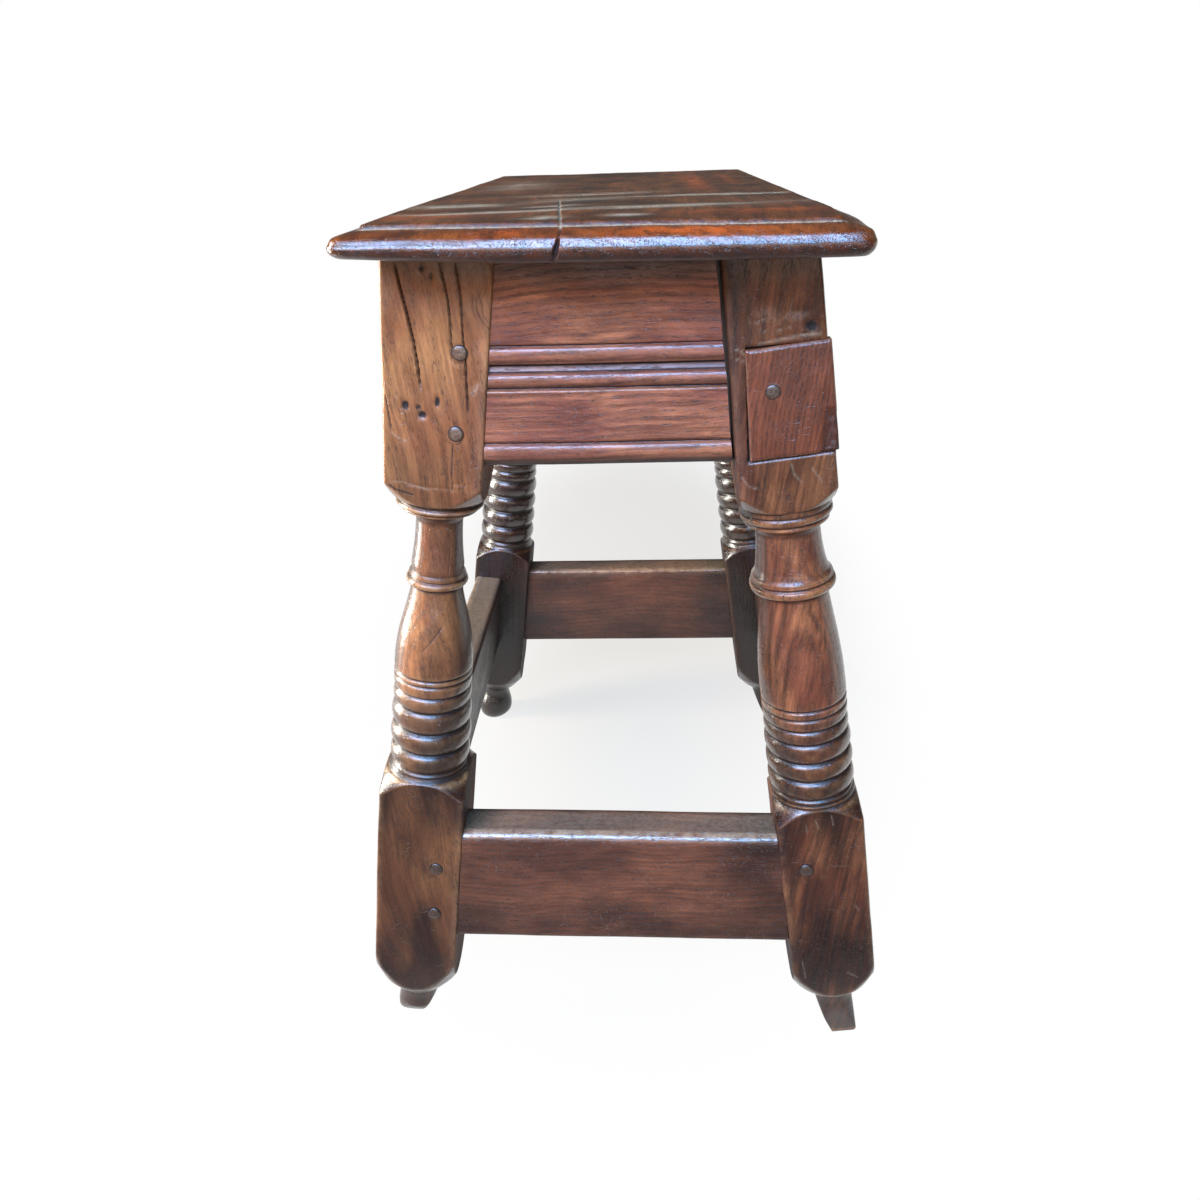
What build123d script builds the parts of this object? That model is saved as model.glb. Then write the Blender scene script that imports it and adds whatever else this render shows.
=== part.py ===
from build123d import *
from math import cos, radians, sin, tan
import os

# Joint stool: a moulded board seat pegged to a frame of four turned legs, four moulded rails under
# the seat and four stretchers near the floor, all joined by pegged mortises and tenons.
# The legs splay across the short way of the stool and stand upright along it.
# Millimetres. X across the seat, Y along it, Z up, origin on the floor under the middle of the seat.

# Seat board
stool_height = 540.0
seat_width = 246.0
seat_length = 530.0
seat_thickness = 17.0
edge_mould_width = 13.5
edge_mould_step = 1.7
nosing_drop = 10.4
nosing_under = 4.5
thumb_fullness = 0.42
seat_corner = 7.0
seat_corner_spread = 0.2

# Frame
leg_stock = 53.0
splay = 7.1
frame_half_width = 105.5
frame_half_length = 219.0
arris_wear = 1.0

# Rails under the seat
rail_bottom = 411.0
rail_thickness = 20.0
rail_set_in = 1.0
bead_height = 7.5
hollow_height = 7.0
hollow_depth = 1.6
lower_flat_height = 29.5
foot_bead_height = 11.5
quirk = 1.4

# Stretchers
stretcher_bottom = 95.0
stretcher_top = 171.0
stretcher_thickness = 26.0
stretcher_set_in = 1.5
back_stretcher_margin = 9.0
back_stretcher_set_in = leg_stock - stretcher_thickness - back_stretcher_margin
stretcher_wear = 2.0

# Joints
tenon_thickness = 9.0
tenon_cheek = 8.0
tenon_meeting = 6.0
tenon_length = leg_stock - tenon_cheek - tenon_thickness - tenon_meeting
tenon_shoulder = 12.0
joint_gap = 0.15
peg_diameter = 8.0
peg_end_wood = 19.0
peg_length = leg_stock - peg_end_wood
peg_proud = 0.6
peg_gap = 0.05
peg_from_shoulder = 15.5
rail_peg_heights = (430.5, 473.0)
stretcher_peg_heights = (114.0, 149.0)
seat_peg_depth = 32.0

# Patch let into the front right leg
patch_bottom = 415.0
patch_top = 473.0
patch_width = 43.0
patch_depth = 6.5
patch_proud = 1.5
patch_overhang = 1.2
patch_gap = 0.8
patch_peg_height = 450.0
patch_peg_from_face = 30.0

# The turner worked each leg by eye, so heights and girths differ from leg to leg.
# Heights are above the floor, on the leg's axis; radii are of the turned parts.
right_turning = dict(
    block_end=383.0, collar_end=371.0, neck_top=367.5, ring_top=340.5, ring_end=328.5, vase_end=258.0,
    band_end=244.5, cove_end=237.0, beads_end=200.5, block_start=192.0, foot_shoulder=69.0,
    collar=26.0, neck=18.0, neck_base=20.3, ring=24.6, vase_top=19.8, vase=25.4, bead=26.2)
left_turning = dict(
    block_end=389.0, collar_end=380.5, neck_top=377.0, ring_top=343.0, ring_end=334.0, vase_end=279.5,
    band_end=265.5, cove_end=257.0, beads_end=215.5, block_start=211.0, foot_shoulder=74.0,
    collar=24.8, neck=13.2, neck_base=15.3, ring=17.8, vase_top=14.9, vase=23.3, bead=24.3)
back_turning = dict(
    block_end=386.0, collar_end=375.0, neck_top=371.5, ring_top=344.0, ring_end=334.0, vase_end=285.0,
    band_end=273.0, cove_end=265.0, beads_end=203.0, block_start=197.0, foot_shoulder=72.0,
    collar=25.6, neck=16.5, neck_base=18.4, ring=22.8, vase_top=18.2, vase=24.6, bead=25.6)

bead_count = 3
back_bead_count = 4
bead_valley = 2.6
groove_depth = 1.0

# Feet: a turned pear where it survives, a worn stub where it doesn't
foot_height = 30.0
foot_neck = 13.2
pear_radius = 17.0
pear_sole = 11.5
stub_radius = 14.5
stub_round = 9.0
stub_sink = 0.6
worn_at_neck = 12.5
worn_at_sole = 1.0
front_wear_height = 22.0
front_wear_sole = 4.0

# Worked out from the sizes above
leg_top = stool_height - seat_thickness
lean = radians(splay)
foot_half_width = frame_half_width + leg_top * tan(lean)
corner_radius = leg_stock / 2 ** 0.5
leg_centre = frame_half_length - leg_stock / 2
side_shoulder = frame_half_length - leg_stock
peg_radius = peg_diameter / 2


def box(x, y, z):
    """A block between the two ends given along each axis."""
    spans = [sorted(pair) for pair in (x, y, z)]
    sizes = [high - low for low, high in spans]
    middle = [(low + high) / 2 for low, high in spans]
    return Pos(*middle) * Box(*sizes)


def path(start, *steps):
    """Edges in the XZ plane: one point is a line, two an arc, more a smooth curve."""
    edges = []
    here = (start[0], 0, start[1])
    for step in steps:
        points = [here] + [(x, 0, z) for x, z in step]
        if len(points) == 2:
            edges.append(Line(*points))
        elif len(points) == 3:
            edges.append(ThreePointArc(*points))
        else:
            edges.append(Spline(*points))
        here = points[-1]
    return edges


def outline(start, *steps):
    """A closed face in the XZ plane, its last side a straight line."""
    return Face(Wire(path(start, *steps, [start])))


def lean_out(piece, side):
    """Stand a piece of a side frame on its splay; its X runs outward from the leg's outer face."""
    outward = (cos(lean), 0, sin(lean))
    upward = (-sin(lean), 0, cos(lean))
    placed = Plane(origin=(foot_half_width, 0, 0), x_dir=outward, z_dir=upward).location * piece
    return placed if side > 0 else mirror(placed, about=Plane.YZ)


def up(height):
    """Distance along the leg's axis of a height above the floor."""
    return (height + leg_stock / 2 * sin(lean)) / cos(lean)


def up_face(height):
    """Distance along the leg's outer face of a height above the floor."""
    return height / cos(lean)


def outer_face(height):
    """How far out a leg's outer face stands at a height above the floor."""
    return frame_half_width + (leg_top - height) * tan(lean)


def inner_face(height):
    return outer_face(height) - leg_stock / cos(lean)


def between_legs(extra, y):
    """The space between the legs' inner faces, widened by extra, over a stretch of Y."""
    low = inner_face(0) + extra
    high = inner_face(leg_top) + extra
    face = outline((-low, 0), [(low, 0)], [(high, leg_top)], [(-high, leg_top)])
    return Pos(0, max(y), 0) * extrude(face, amount=max(y) - min(y), dir=(0, -1, 0))


# ---------------------------------------------------------------- seat

def seat_section(half, long):
    """Cross-section of the board with its thumb moulding, swept straight along the other way."""
    top = stool_height
    under = leg_top
    nose = top - nosing_drop
    step = half - edge_mould_width
    edges = []
    low_bend = under + (nose - under) * 0.32
    high_bend = top - nosing_drop * thumb_fullness
    for sign in (-1, 1):
        edges += path((sign * (half - nosing_under), under),
                      [(sign * (half - nosing_under * 0.3), low_bend), (sign * half, nose)],
                      [(sign * (half - edge_mould_width * 0.3), high_bend),
                       (sign * (step + 0.4), top - edge_mould_step)],
                      [(sign * step, top - edge_mould_step * 0.6)],
                      [(sign * (step - edge_mould_step), top)])
    edges.append(Line((half - nosing_under, 0, under), (nosing_under - half, 0, under)))
    edges.append(Line((step - edge_mould_step, 0, top), (edge_mould_step - step, 0, top)))
    face = Face(Wire(edges))
    return Pos(0, long, 0) * extrude(face, amount=2 * long, dir=(0, -1, 0))


def seat_board():
    across = seat_section(seat_width / 2, seat_length / 2)
    along = Rot(0, 0, 90) * seat_section(seat_length / 2, seat_width / 2)
    board = across & along
    spread = 2 * seat_corner_spread
    plan = RectangleRounded(seat_width + spread, seat_length + spread, seat_corner)
    board = board & Pos(0, 0, leg_top - 1) * extrude(plan, seat_thickness + 2)
    for x, y in seat_peg_places():
        board -= seat_peg(x, y, peg_gap)
    return board


def seat_peg_places():
    x = frame_half_width - leg_stock / 2
    return [(sx * x, sy * leg_centre) for sx in (-1, 1) for sy in (-1, 1)]


def seat_peg(x, y, gap=0.0):
    """A peg from the top of the board down into the head of a leg."""
    length = seat_thickness + seat_peg_depth + gap
    return Pos(x, y, stool_height - length / 2) * Cylinder(peg_radius + gap, length)


# ---------------------------------------------------------------- legs

def turned_body(t, foot, beads):
    """The leg as the lathe leaves it, a solid of revolution about Z, wider than the stock at the blocks."""
    wide = corner_radius + 1
    flat = leg_stock / 2
    shoulder = corner_radius - flat
    collar_mid = (t["block_end"] + t["collar_end"]) / 2
    ring_third = (t["ring_top"] - t["ring_end"]) / 3
    vase_span = t["ring_end"] - t["vase_end"]
    vase_swell = t["vase"] - t["vase_top"]
    bead_height_here = (t["cove_end"] - t["beads_end"]) / beads
    steps = [
        [(wide, up(t["foot_shoulder"]) + 1)],
        [(wide, up(t["block_start"]) - shoulder - 1)],
        [(corner_radius - 4, up(t["block_start"]) - shoulder * 0.5), (flat, up(t["block_start"]))],
        [(t["bead"] - bead_valley, up(t["beads_end"]))],
    ]
    for n in range(beads):
        low = up(t["beads_end"]) + n * bead_height_here / cos(lean)
        high = low + bead_height_here / cos(lean)
        steps.append([(t["bead"], (low + high) / 2), (t["bead"] - bead_valley, high)])
    neck_top = up(t["neck_top"])
    neck_middle = (t["neck_base"] + t["neck"]) / 2 - 0.3
    band = up(t["band_end"])
    groove = up(t["vase_end"])
    ring_low = up(t["ring_end"])
    ring_high = up(t["ring_top"])
    steps += [
        [(t["vase"] - 0.2, band - 2)],
        [(t["vase"], band)],
        [(t["vase"], groove - 6)],
        [(t["vase"] - groove_depth, groove - 5)],
        [(t["vase"] - 0.3, groove - 4)],
        [(t["vase"] - 0.3, groove - 1)],
        [(t["vase"] - groove_depth, groove)],
        [(t["vase"], groove + 1)],
        [(t["vase_top"] + vase_swell * 0.86, groove + vase_span * 0.36),
         (t["vase_top"] + vase_swell * 0.38, groove + vase_span * 0.69),
         (t["vase_top"], ring_low)],
        [(t["ring"] - 1.5, ring_low + 0.8)],
        [(t["ring"], ring_low + ring_third), (t["ring"] - 0.8, ring_low + 2 * ring_third)],
        [(t["ring"] - 1.6, ring_low + 2 * ring_third)],
        [(t["ring"] - 2.0, ring_high - ring_third / 2)],
        [(t["neck_base"] + 1.2, ring_high)],
        [(t["neck_base"], ring_high + 3)],
        [(neck_middle, (ring_high + neck_top) / 2), (t["neck"], neck_top)],
        [(t["neck"] + 2.5, neck_top + 1.2)],
        [(t["neck"] + 3.5, up(t["collar_end"]))],
        [(t["collar"] - 0.8, up(collar_mid) - 1), (t["collar"] - 0.4, up(t["block_end"]) - 2.6)],
        [(t["collar"], up(t["block_end"]) - 2.4)],
        [(flat, up(t["block_end"]))],
        [(corner_radius - 4, up(t["block_end"]) + shoulder * 0.62),
         (wide, up(t["block_end"]) + shoulder * 1.3)],
        [(wide, up(leg_top) + 20)],
        [(0, up(leg_top) + 20)],
    ]
    return revolve(outline(*foot, *steps), Axis.Z)


def pear_foot(t):
    """A turned pear below the block, from under the floor up to the block's lower shoulder."""
    return [
        (0, -10),
        [(pear_sole - 2, -10)],
        [(pear_sole, up(0))],
        [(pear_radius, up(foot_height * 0.45)), (foot_neck, up(foot_height))],
        foot_shoulder_steps(t),
    ]


def stub_foot(t):
    """What is left of a foot that wore down to a stub with a rounded end."""
    return [
        (0, up(0) - stub_sink),
        [(stub_radius * 0.8, up(0) + stub_round * 0.3), (stub_radius, up(0) + stub_round)],
        [(foot_neck, up(foot_height))],
        foot_shoulder_steps(t),
    ]


def foot_shoulder_steps(t):
    """The rounded underside of the lower block, from the foot's neck out past the corners."""
    rise = t["foot_shoulder"] - foot_height
    return [(leg_stock / 2, up(foot_height + rise * 0.46)), (corner_radius + 1, up(t["foot_shoulder"]))]


def worn_side(y):
    """What wear took off the inner side of a stub foot."""
    axis = -leg_stock / 2
    face = outline((axis - corner_radius, 0),
                   [(axis - worn_at_neck, up(foot_height))],
                   [(axis - worn_at_sole, 0)])
    return Pos(0, y + leg_stock, 0) * extrude(face, amount=2 * leg_stock, dir=(0, -1, 0))


def worn_front(y):
    """What wear took off the front of the left foot, which touches the floor only at its back."""
    face = outline((y - corner_radius, front_wear_height),
                   [(y - stub_radius, front_wear_height)],
                   [(y + front_wear_sole, 0)],
                   [(y - corner_radius, 0)])
    reach = 2 * foot_half_width
    return Pos(-reach, 0, 0) * Rot(0, 0, 90) * extrude(face, amount=reach, dir=(0, -1, 0))


def leg(side, end, t, worn, beads):
    """One leg: side is -1 left or +1 right, end is -1 front or +1 back."""
    y = end * leg_centre
    height = up(leg_top) + 40
    stock = Pos(-leg_stock / 2, y, height / 2 - 15) * Box(leg_stock, leg_stock, height)
    stock = chamfer(stock.edges().filter_by(Axis.Z), arris_wear)
    turned = Pos(-leg_stock / 2, y, 0) * turned_body(t, stub_foot(t) if worn else pear_foot(t), beads)
    body = stock & turned
    if worn:
        body -= worn_side(y)
    body = lean_out(body, side)
    reach = foot_half_width + leg_stock
    body = body & box((-reach, reach), (y - leg_stock, y + leg_stock), (0, leg_top))
    if worn and side < 0:
        body -= worn_front(y)
    for cutter in leg_cutters(side, end):
        body -= cutter
    return body


def leg_cutters(side, end):
    """Mortises, peg holes and the patch's seat, in place."""
    cuts = [end_tenons(rail_tenon_heights(), end, rail_set_in, joint_gap),
            end_tenons(stretcher_tenon_heights(), end, stretcher_setting(end), joint_gap)]
    cuts.append(lean_out(side_tenons(rail_tenon_heights(), rail_set_in, joint_gap), side))
    cuts.append(lean_out(side_tenons(stretcher_tenon_heights(), stretcher_set_in, joint_gap), side))
    cuts += end_pegs(side, end, peg_gap)
    cuts += [lean_out(peg, side) for peg in side_pegs(end, peg_gap)]
    cuts.append(seat_peg(side * (frame_half_width - leg_stock / 2), end * leg_centre, peg_gap))
    if has_patch(side, end):
        cuts.append(lean_out(patch_block(patch_gap), side))
    return cuts


def has_patch(side, end):
    return side > 0 and end < 0


# ---------------------------------------------------------------- rails and stretchers

def rail_tenon_heights():
    return (rail_bottom + tenon_shoulder, leg_top - tenon_shoulder - 6)


def stretcher_tenon_heights():
    return (stretcher_bottom + tenon_shoulder / 2, stretcher_top - tenon_shoulder / 2)


def stretcher_setting(end):
    return stretcher_set_in if end < 0 else back_stretcher_set_in


def tenon_span(set_in):
    """The tenon's two faces, measured in from the legs' outer face."""
    near = max(tenon_cheek, set_in + 4)
    return (near, near + tenon_thickness)


def end_tenons(heights, end, set_in, gap=0.0):
    """Both tenons of an end piece as one bar that runs on through the legs' inner faces."""
    near, far = tenon_span(set_in)
    y = (end * (frame_half_length - near + gap), end * (frame_half_length - far - gap))
    bar = between_legs(tenon_length + gap, y)
    reach = foot_half_width
    return bar & box((-reach, reach), y, (heights[0] - gap, heights[1] + gap))


def side_tenons(heights, set_in, gap=0.0):
    """Both tenons of a side piece as one bar, in the leaning frame of the side."""
    near, far = tenon_span(set_in)
    reach = side_shoulder + tenon_length + gap
    low, high = up_face(heights[0]), up_face(heights[1])
    return box((-far - gap, -near + gap), (-reach, reach), (low - gap, high + gap))


def moulded_section(low, high):
    """Cross-section of a rail: X is the depth from its face inward as negative, Z the height."""
    foot_top = low + foot_bead_height
    flat_top = foot_top + lower_flat_height
    lower_bead = flat_top + bead_height
    hollow_top = lower_bead + hollow_height
    upper_bead = hollow_top + bead_height
    return outline(
        (-rail_thickness, low),
        [(-2.2, low)],
        [(-0.2, low + foot_bead_height * 0.45), (-1.6, foot_top - quirk)],
        [(-1.6, foot_top)],
        [(-0.8, foot_top)],
        [(-0.8, flat_top - quirk)],
        [(-1.8, flat_top - quirk * 0.5)],
        [(0, flat_top + bead_height * 0.45), (-1.0, lower_bead - quirk * 0.5)],
        [(-hollow_depth - 0.8, lower_bead)],
        [(-hollow_depth - 1.2, (lower_bead + hollow_top) / 2), (-hollow_depth - 0.4, hollow_top - quirk)],
        [(-1.2, hollow_top)],
        [(0, hollow_top + bead_height * 0.45), (-1.0, upper_bead - quirk)],
        [(-1.8, upper_bead - quirk * 0.5)],
        [(-0.6, upper_bead)],
        [(-0.6, high)],
        [(-rail_thickness, high)],
    )


def end_rail(end):
    """The moulded rail across one end, its tenons shaped to the splay."""
    half = frame_half_width + leg_stock
    section = Rot(0, 0, -90) * moulded_section(rail_bottom, leg_top)
    bar = Pos(-half, -(frame_half_length - rail_set_in), 0) * extrude(section, amount=2 * half, dir=(1, 0, 0))
    reach = (-frame_half_length, -frame_half_length + 2 * rail_thickness)
    rail = (bar & between_legs(0, reach)) + end_tenons(rail_tenon_heights(), -1, rail_set_in)
    rail = rail if end < 0 else mirror(rail, about=Plane.XZ)
    for side in (-1, 1):
        for peg in end_pegs(side, end, peg_gap):
            rail -= peg
    return rail


def side_rail(side):
    """The moulded rail along one side, leaning with the legs and cut level with their heads."""
    extra = rail_thickness * tan(lean) + 2
    section = moulded_section(up_face(rail_bottom), up_face(leg_top) + extra)
    bar = Pos(-rail_set_in, side_shoulder, 0) * extrude(section, amount=2 * side_shoulder, dir=(0, -1, 0))
    rail = bar + side_tenons(rail_tenon_heights(), rail_set_in)
    for end in (-1, 1):
        for peg in side_pegs(end, peg_gap):
            rail -= peg
    rail = lean_out(rail, side)
    return rail & box((-foot_half_width, foot_half_width), (-seat_length, seat_length), (0, leg_top))


def end_stretcher(end):
    """The plain stretcher across one end."""
    set_in = stretcher_setting(end)
    y = (end * (frame_half_length - set_in), end * (frame_half_length - set_in - stretcher_thickness))
    bar = between_legs(0, y) & box((-foot_half_width, foot_half_width), y, (stretcher_bottom, stretcher_top))
    top_edges = bar.edges().filter_by(Axis.X).group_by(Axis.Z)[-1]
    bar = chamfer(top_edges, stretcher_wear)
    bar += end_tenons(stretcher_tenon_heights(), end, set_in)
    for side in (-1, 1):
        for peg in end_pegs(side, end, peg_gap):
            bar -= peg
    return bar


def side_stretcher(side):
    """The plain stretcher along one side."""
    far = -stretcher_set_in - stretcher_thickness
    bar = box((far, -stretcher_set_in), (-side_shoulder, side_shoulder),
              (up_face(stretcher_bottom), up_face(stretcher_top)))
    top_edges = bar.edges().filter_by(Axis.Y).group_by(Axis.Z)[-1]
    bar = chamfer(top_edges, stretcher_wear)
    bar += side_tenons(stretcher_tenon_heights(), stretcher_set_in)
    for end in (-1, 1):
        for peg in side_pegs(end, peg_gap):
            bar -= peg
    return lean_out(bar, side)


# ---------------------------------------------------------------- pegs and patch

def peg_along_y(x, z, end, gap=0.0, proud=peg_proud):
    """A peg driven into a leg from its end face."""
    length = peg_length + proud + 2 * gap
    y = end * (frame_half_length + proud + gap - length / 2)
    return Pos(x, y, z) * Rot(90, 0, 0) * Cylinder(peg_radius + gap, length)


def end_pegs(side, end, gap=0.0, levels=("rail", "stretcher")):
    """Pegs of the end pieces in one leg, those of the rails, the stretchers or both."""
    heights = []
    if "rail" in levels and not has_patch(side, end):
        heights += rail_peg_heights
    if "stretcher" in levels:
        heights += stretcher_peg_heights
    pegs = [peg_along_y(side * (inner_face(z) + peg_from_shoulder), z, end, gap) for z in heights]
    if "patch" in levels or (gap and has_patch(side, end)):
        pegs.append(patch_peg(gap))
    return pegs


def side_pegs(end, gap=0.0, levels=("rail", "stretcher")):
    """Pegs of the side pieces in one leg, in the leaning frame of the side."""
    heights = []
    if "rail" in levels:
        heights += rail_peg_heights
    if "stretcher" in levels:
        heights += stretcher_peg_heights
    length = peg_length + peg_proud + 2 * gap
    x = peg_proud + gap - length / 2
    y = end * (side_shoulder + peg_from_shoulder)
    return [Pos(x, y, up_face(z)) * Rot(0, 90, 0) * Cylinder(peg_radius + gap, length) for z in heights]


def pegs_of(side, end, level):
    """All pegs of one level in one leg, as a group of solids."""
    pegs = end_pegs(side, end, levels=(level,))
    pegs += [lean_out(peg, side) for peg in side_pegs(end, levels=(level,))]
    return Compound(children=[solid for peg in pegs for solid in peg.solids()])


def patch_block(gap=0.0):
    """The let-in patch, or with a gap its seat in the leg."""
    front = frame_half_length + patch_proud
    back = frame_half_length - patch_depth
    return box((-patch_width - gap, patch_overhang + gap), (-front - gap, -back),
               (up(patch_bottom) - gap / 4, up(patch_top) + gap / 4))


def patch_peg(gap=0.0):
    x = outer_face(patch_peg_height) - patch_peg_from_face / cos(lean)
    return peg_along_y(x, patch_peg_height, -1, gap, patch_proud + peg_proud)


def leg_patch():
    return lean_out(patch_block(), 1) - patch_peg(peg_gap)


# ---------------------------------------------------------------- writing the pieces

def stool():
    """Every piece of the stool by the name of its node."""
    pieces = {"seat_top": seat_board(),
              "leg_front_left": leg(-1, -1, left_turning, True, bead_count),
              "leg_front_right": leg(1, -1, right_turning, True, bead_count),
              "leg_back_left": leg(-1, 1, back_turning, False, back_bead_count),
              "leg_back_right": leg(1, 1, back_turning, True, back_bead_count),
              "apron_front_end": end_rail(-1),
              "apron_back_end": end_rail(1),
              "apron_left_side": side_rail(-1),
              "apron_right_side": side_rail(1),
              "stretcher_front_end": end_stretcher(-1),
              "stretcher_back_end": end_stretcher(1),
              "stretcher_left_side": side_stretcher(-1),
              "stretcher_right_side": side_stretcher(1),
              "leg_patch": leg_patch(),
              "leg_patch_peg": patch_peg()}
    for end, end_name in ((-1, "front"), (1, "back")):
        for side, side_name in ((-1, "left"), (1, "right")):
            for level, level_name in (("rail", "apron"), ("stretcher", "stretcher")):
                pieces[f"pegs_{level_name}_{end_name}_{side_name}"] = pegs_of(side, end, level)
    seat_pegs = [seat_peg(x, y) for x, y in seat_peg_places()]
    pieces["pegs_seat"] = Compound(children=[solid for peg in seat_pegs for solid in peg.solids()])
    return pieces


os.makedirs("parts", exist_ok=True)
for name, piece in stool().items():
    export_step(piece, f"parts/{name}.step")
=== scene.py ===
# A small joint stool of old oak: a moulded board seat pegged to a frame of turned legs, moulded rails and
# plain stretchers. Every joint is a tenon held by a cleft peg, and two centuries of wax, hands and boots
# have darkened the wood, rounded its arrises and worn its feet. Its own sizes are in millimetres.
import math
import bmesh
import bpy
import numpy as np
from mathutils import Matrix, Vector


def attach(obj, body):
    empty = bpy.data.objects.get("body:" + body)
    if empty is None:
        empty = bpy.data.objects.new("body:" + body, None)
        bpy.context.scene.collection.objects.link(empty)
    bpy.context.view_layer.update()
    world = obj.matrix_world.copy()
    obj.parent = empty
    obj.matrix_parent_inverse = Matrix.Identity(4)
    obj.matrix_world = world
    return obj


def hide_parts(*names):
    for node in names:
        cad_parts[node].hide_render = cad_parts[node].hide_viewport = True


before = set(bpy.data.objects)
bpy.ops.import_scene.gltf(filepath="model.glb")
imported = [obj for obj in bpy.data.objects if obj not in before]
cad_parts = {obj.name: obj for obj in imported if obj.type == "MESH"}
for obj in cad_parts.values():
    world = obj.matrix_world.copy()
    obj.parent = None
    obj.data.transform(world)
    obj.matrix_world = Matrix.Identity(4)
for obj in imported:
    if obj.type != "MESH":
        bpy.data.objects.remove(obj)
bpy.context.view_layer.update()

scene = bpy.context.scene


# ------------------------------------------------------------------ legs
# Each leg is turned from one square of oak, left square for the joints and splayed across the stool. The
# turner worked by eye, so no two are alike. The feet are worn: only the back left one is still a whole pear.
leg_top, leg_stock, lean = 523.0, 53.0, math.radians(7.1)
half_stock = leg_stock / 2
frame_half_width, frame_half_length = 105.5, 219.0
foot_half_width = frame_half_width + leg_top * math.tan(lean)
leg_middle = frame_half_length - half_stock
rail_peg_heights, stretcher_peg_heights = (430.5, 473.0), (114.0, 149.0)
smoke_tint = "574c56"


def unevenness(points, size, seed):
    """Smooth chance lumps between -1 and 1 that are about size across, in the points' own unit."""
    lattice = np.random.default_rng(seed).random((16, 16, 16)) * 2 - 1
    steps = np.asarray(points, float) / np.asarray(size, float) + 100.37
    cell = np.floor(steps).astype(int)
    part = steps - cell
    part = part * part * (3 - 2 * part)
    total = 0
    for corner in np.ndindex(2, 2, 2):
        share = np.prod(np.where(corner, part, 1 - part), axis=-1)
        total = total + share * lattice[tuple(((cell + corner) % 16)[..., k] for k in range(3))]
    return total


def ease(low, high, value):
    """Climbs smoothly from 0 at low to 1 at high."""
    share = np.clip((value - low) / (high - low), 0, 1)
    return share * share * (3 - 2 * share)


def near_line(across, along, line, width):
    """1 on a split or scratch drawn as (across, along) points in order, 0 beyond its width."""
    line = np.array(sorted(line, key=lambda p: p[1]), float)
    middle = np.interp(along, line[:, 1], line[:, 0])
    close = np.clip(1 - np.abs(across - middle) / width, 0, 1)
    reach = (line[-1, 1] - line[0, 1]) * 0.12 + 1e-6
    inside = ease(line[0, 1] - reach * 0.2, line[0, 1] + reach, along)
    inside = inside * (1 - ease(line[-1, 1] - reach, line[-1, 1] + reach * 0.2, along))
    return close * inside


def near_stroke(across, along, line, width):
    """The same for a scratch that may turn back on itself."""
    close = np.zeros(np.shape(across))
    for (x0, y0), (x1, y1) in zip(line[:-1], line[1:]):
        run = (x1 - x0, y1 - y0)
        share = ((across - x0) * run[0] + (along - y0) * run[1]) / (run[0] ** 2 + run[1] ** 2)
        share = np.clip(share, 0, 1)
        apart = np.hypot(across - x0 - share * run[0], along - y0 - share * run[1])
        close = np.maximum(close, 1 - apart / width)
    return np.clip(close, 0, 1)


def grid_faces(rows, columns, closed=False, start=0):
    """Quads between rows of points; a closed grid joins its last column to its first."""
    i, j = np.meshgrid(np.arange(rows - 1), np.arange(columns if closed else columns - 1), indexing="ij")
    k = (j + 1) % columns
    quads = np.stack([i * columns + j, i * columns + k, (i + 1) * columns + k, (i + 1) * columns + j],
                     axis=-1)
    return (quads.reshape(-1, 4) + start).tolist()


def dress(mesh, name, node, **marks):
    """Paints wear, dirt, painted shade and other marks on a mesh's points and puts it in the place of its CAD
    piece.
    """
    for mark, values in marks.items():
        layer = mesh.attributes.new(mark, "FLOAT", "POINT")
        layer.data.foreach_set("value", np.clip(np.asarray(values, float).ravel(), 0, 1).astype(np.float32))
    shell = bmesh.new()
    shell.from_mesh(mesh)
    bmesh.ops.recalc_face_normals(shell, faces=shell.faces)
    shell.to_mesh(mesh)
    shell.free()
    mesh.polygons.foreach_set("use_smooth", [True] * len(mesh.polygons))
    work = bpy.data.objects.new(name, mesh)
    scene.collection.objects.link(work)
    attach(work, "root")
    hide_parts(node)
    return work


def skin(name, points, faces, material, node, **marks):
    """A closed piece from points in millimetres."""
    mesh = bpy.data.meshes.new(name)
    mesh.from_pydata((np.asarray(points, float) / 1000).tolist(), [], faces)
    mesh.materials.append(material)
    return dress(mesh, name, node, **marks)


def linear(code):
    """A hex colour as the eye sees it, turned to the light values that the renderer wants."""
    parts = [int(code[i:i + 2], 16) / 255 for i in (0, 2, 4)]
    return tuple(c / 12.92 if c <= 0.04045 else ((c + 0.055) / 1.055) ** 2.4 for c in parts) + (1.0,)


def add(tree, kind, inputs=None, **settings):
    """Adds a node, sets it, and links or fills its sockets."""
    made = tree.nodes.new(kind)
    for key, value in settings.items():
        setattr(made, key, value)
    for key, value in (inputs or {}).items():
        if isinstance(value, bpy.types.NodeSocket):
            tree.links.new(value, made.inputs[key])
        else:
            made.inputs[key].default_value = value
    return made


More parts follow.
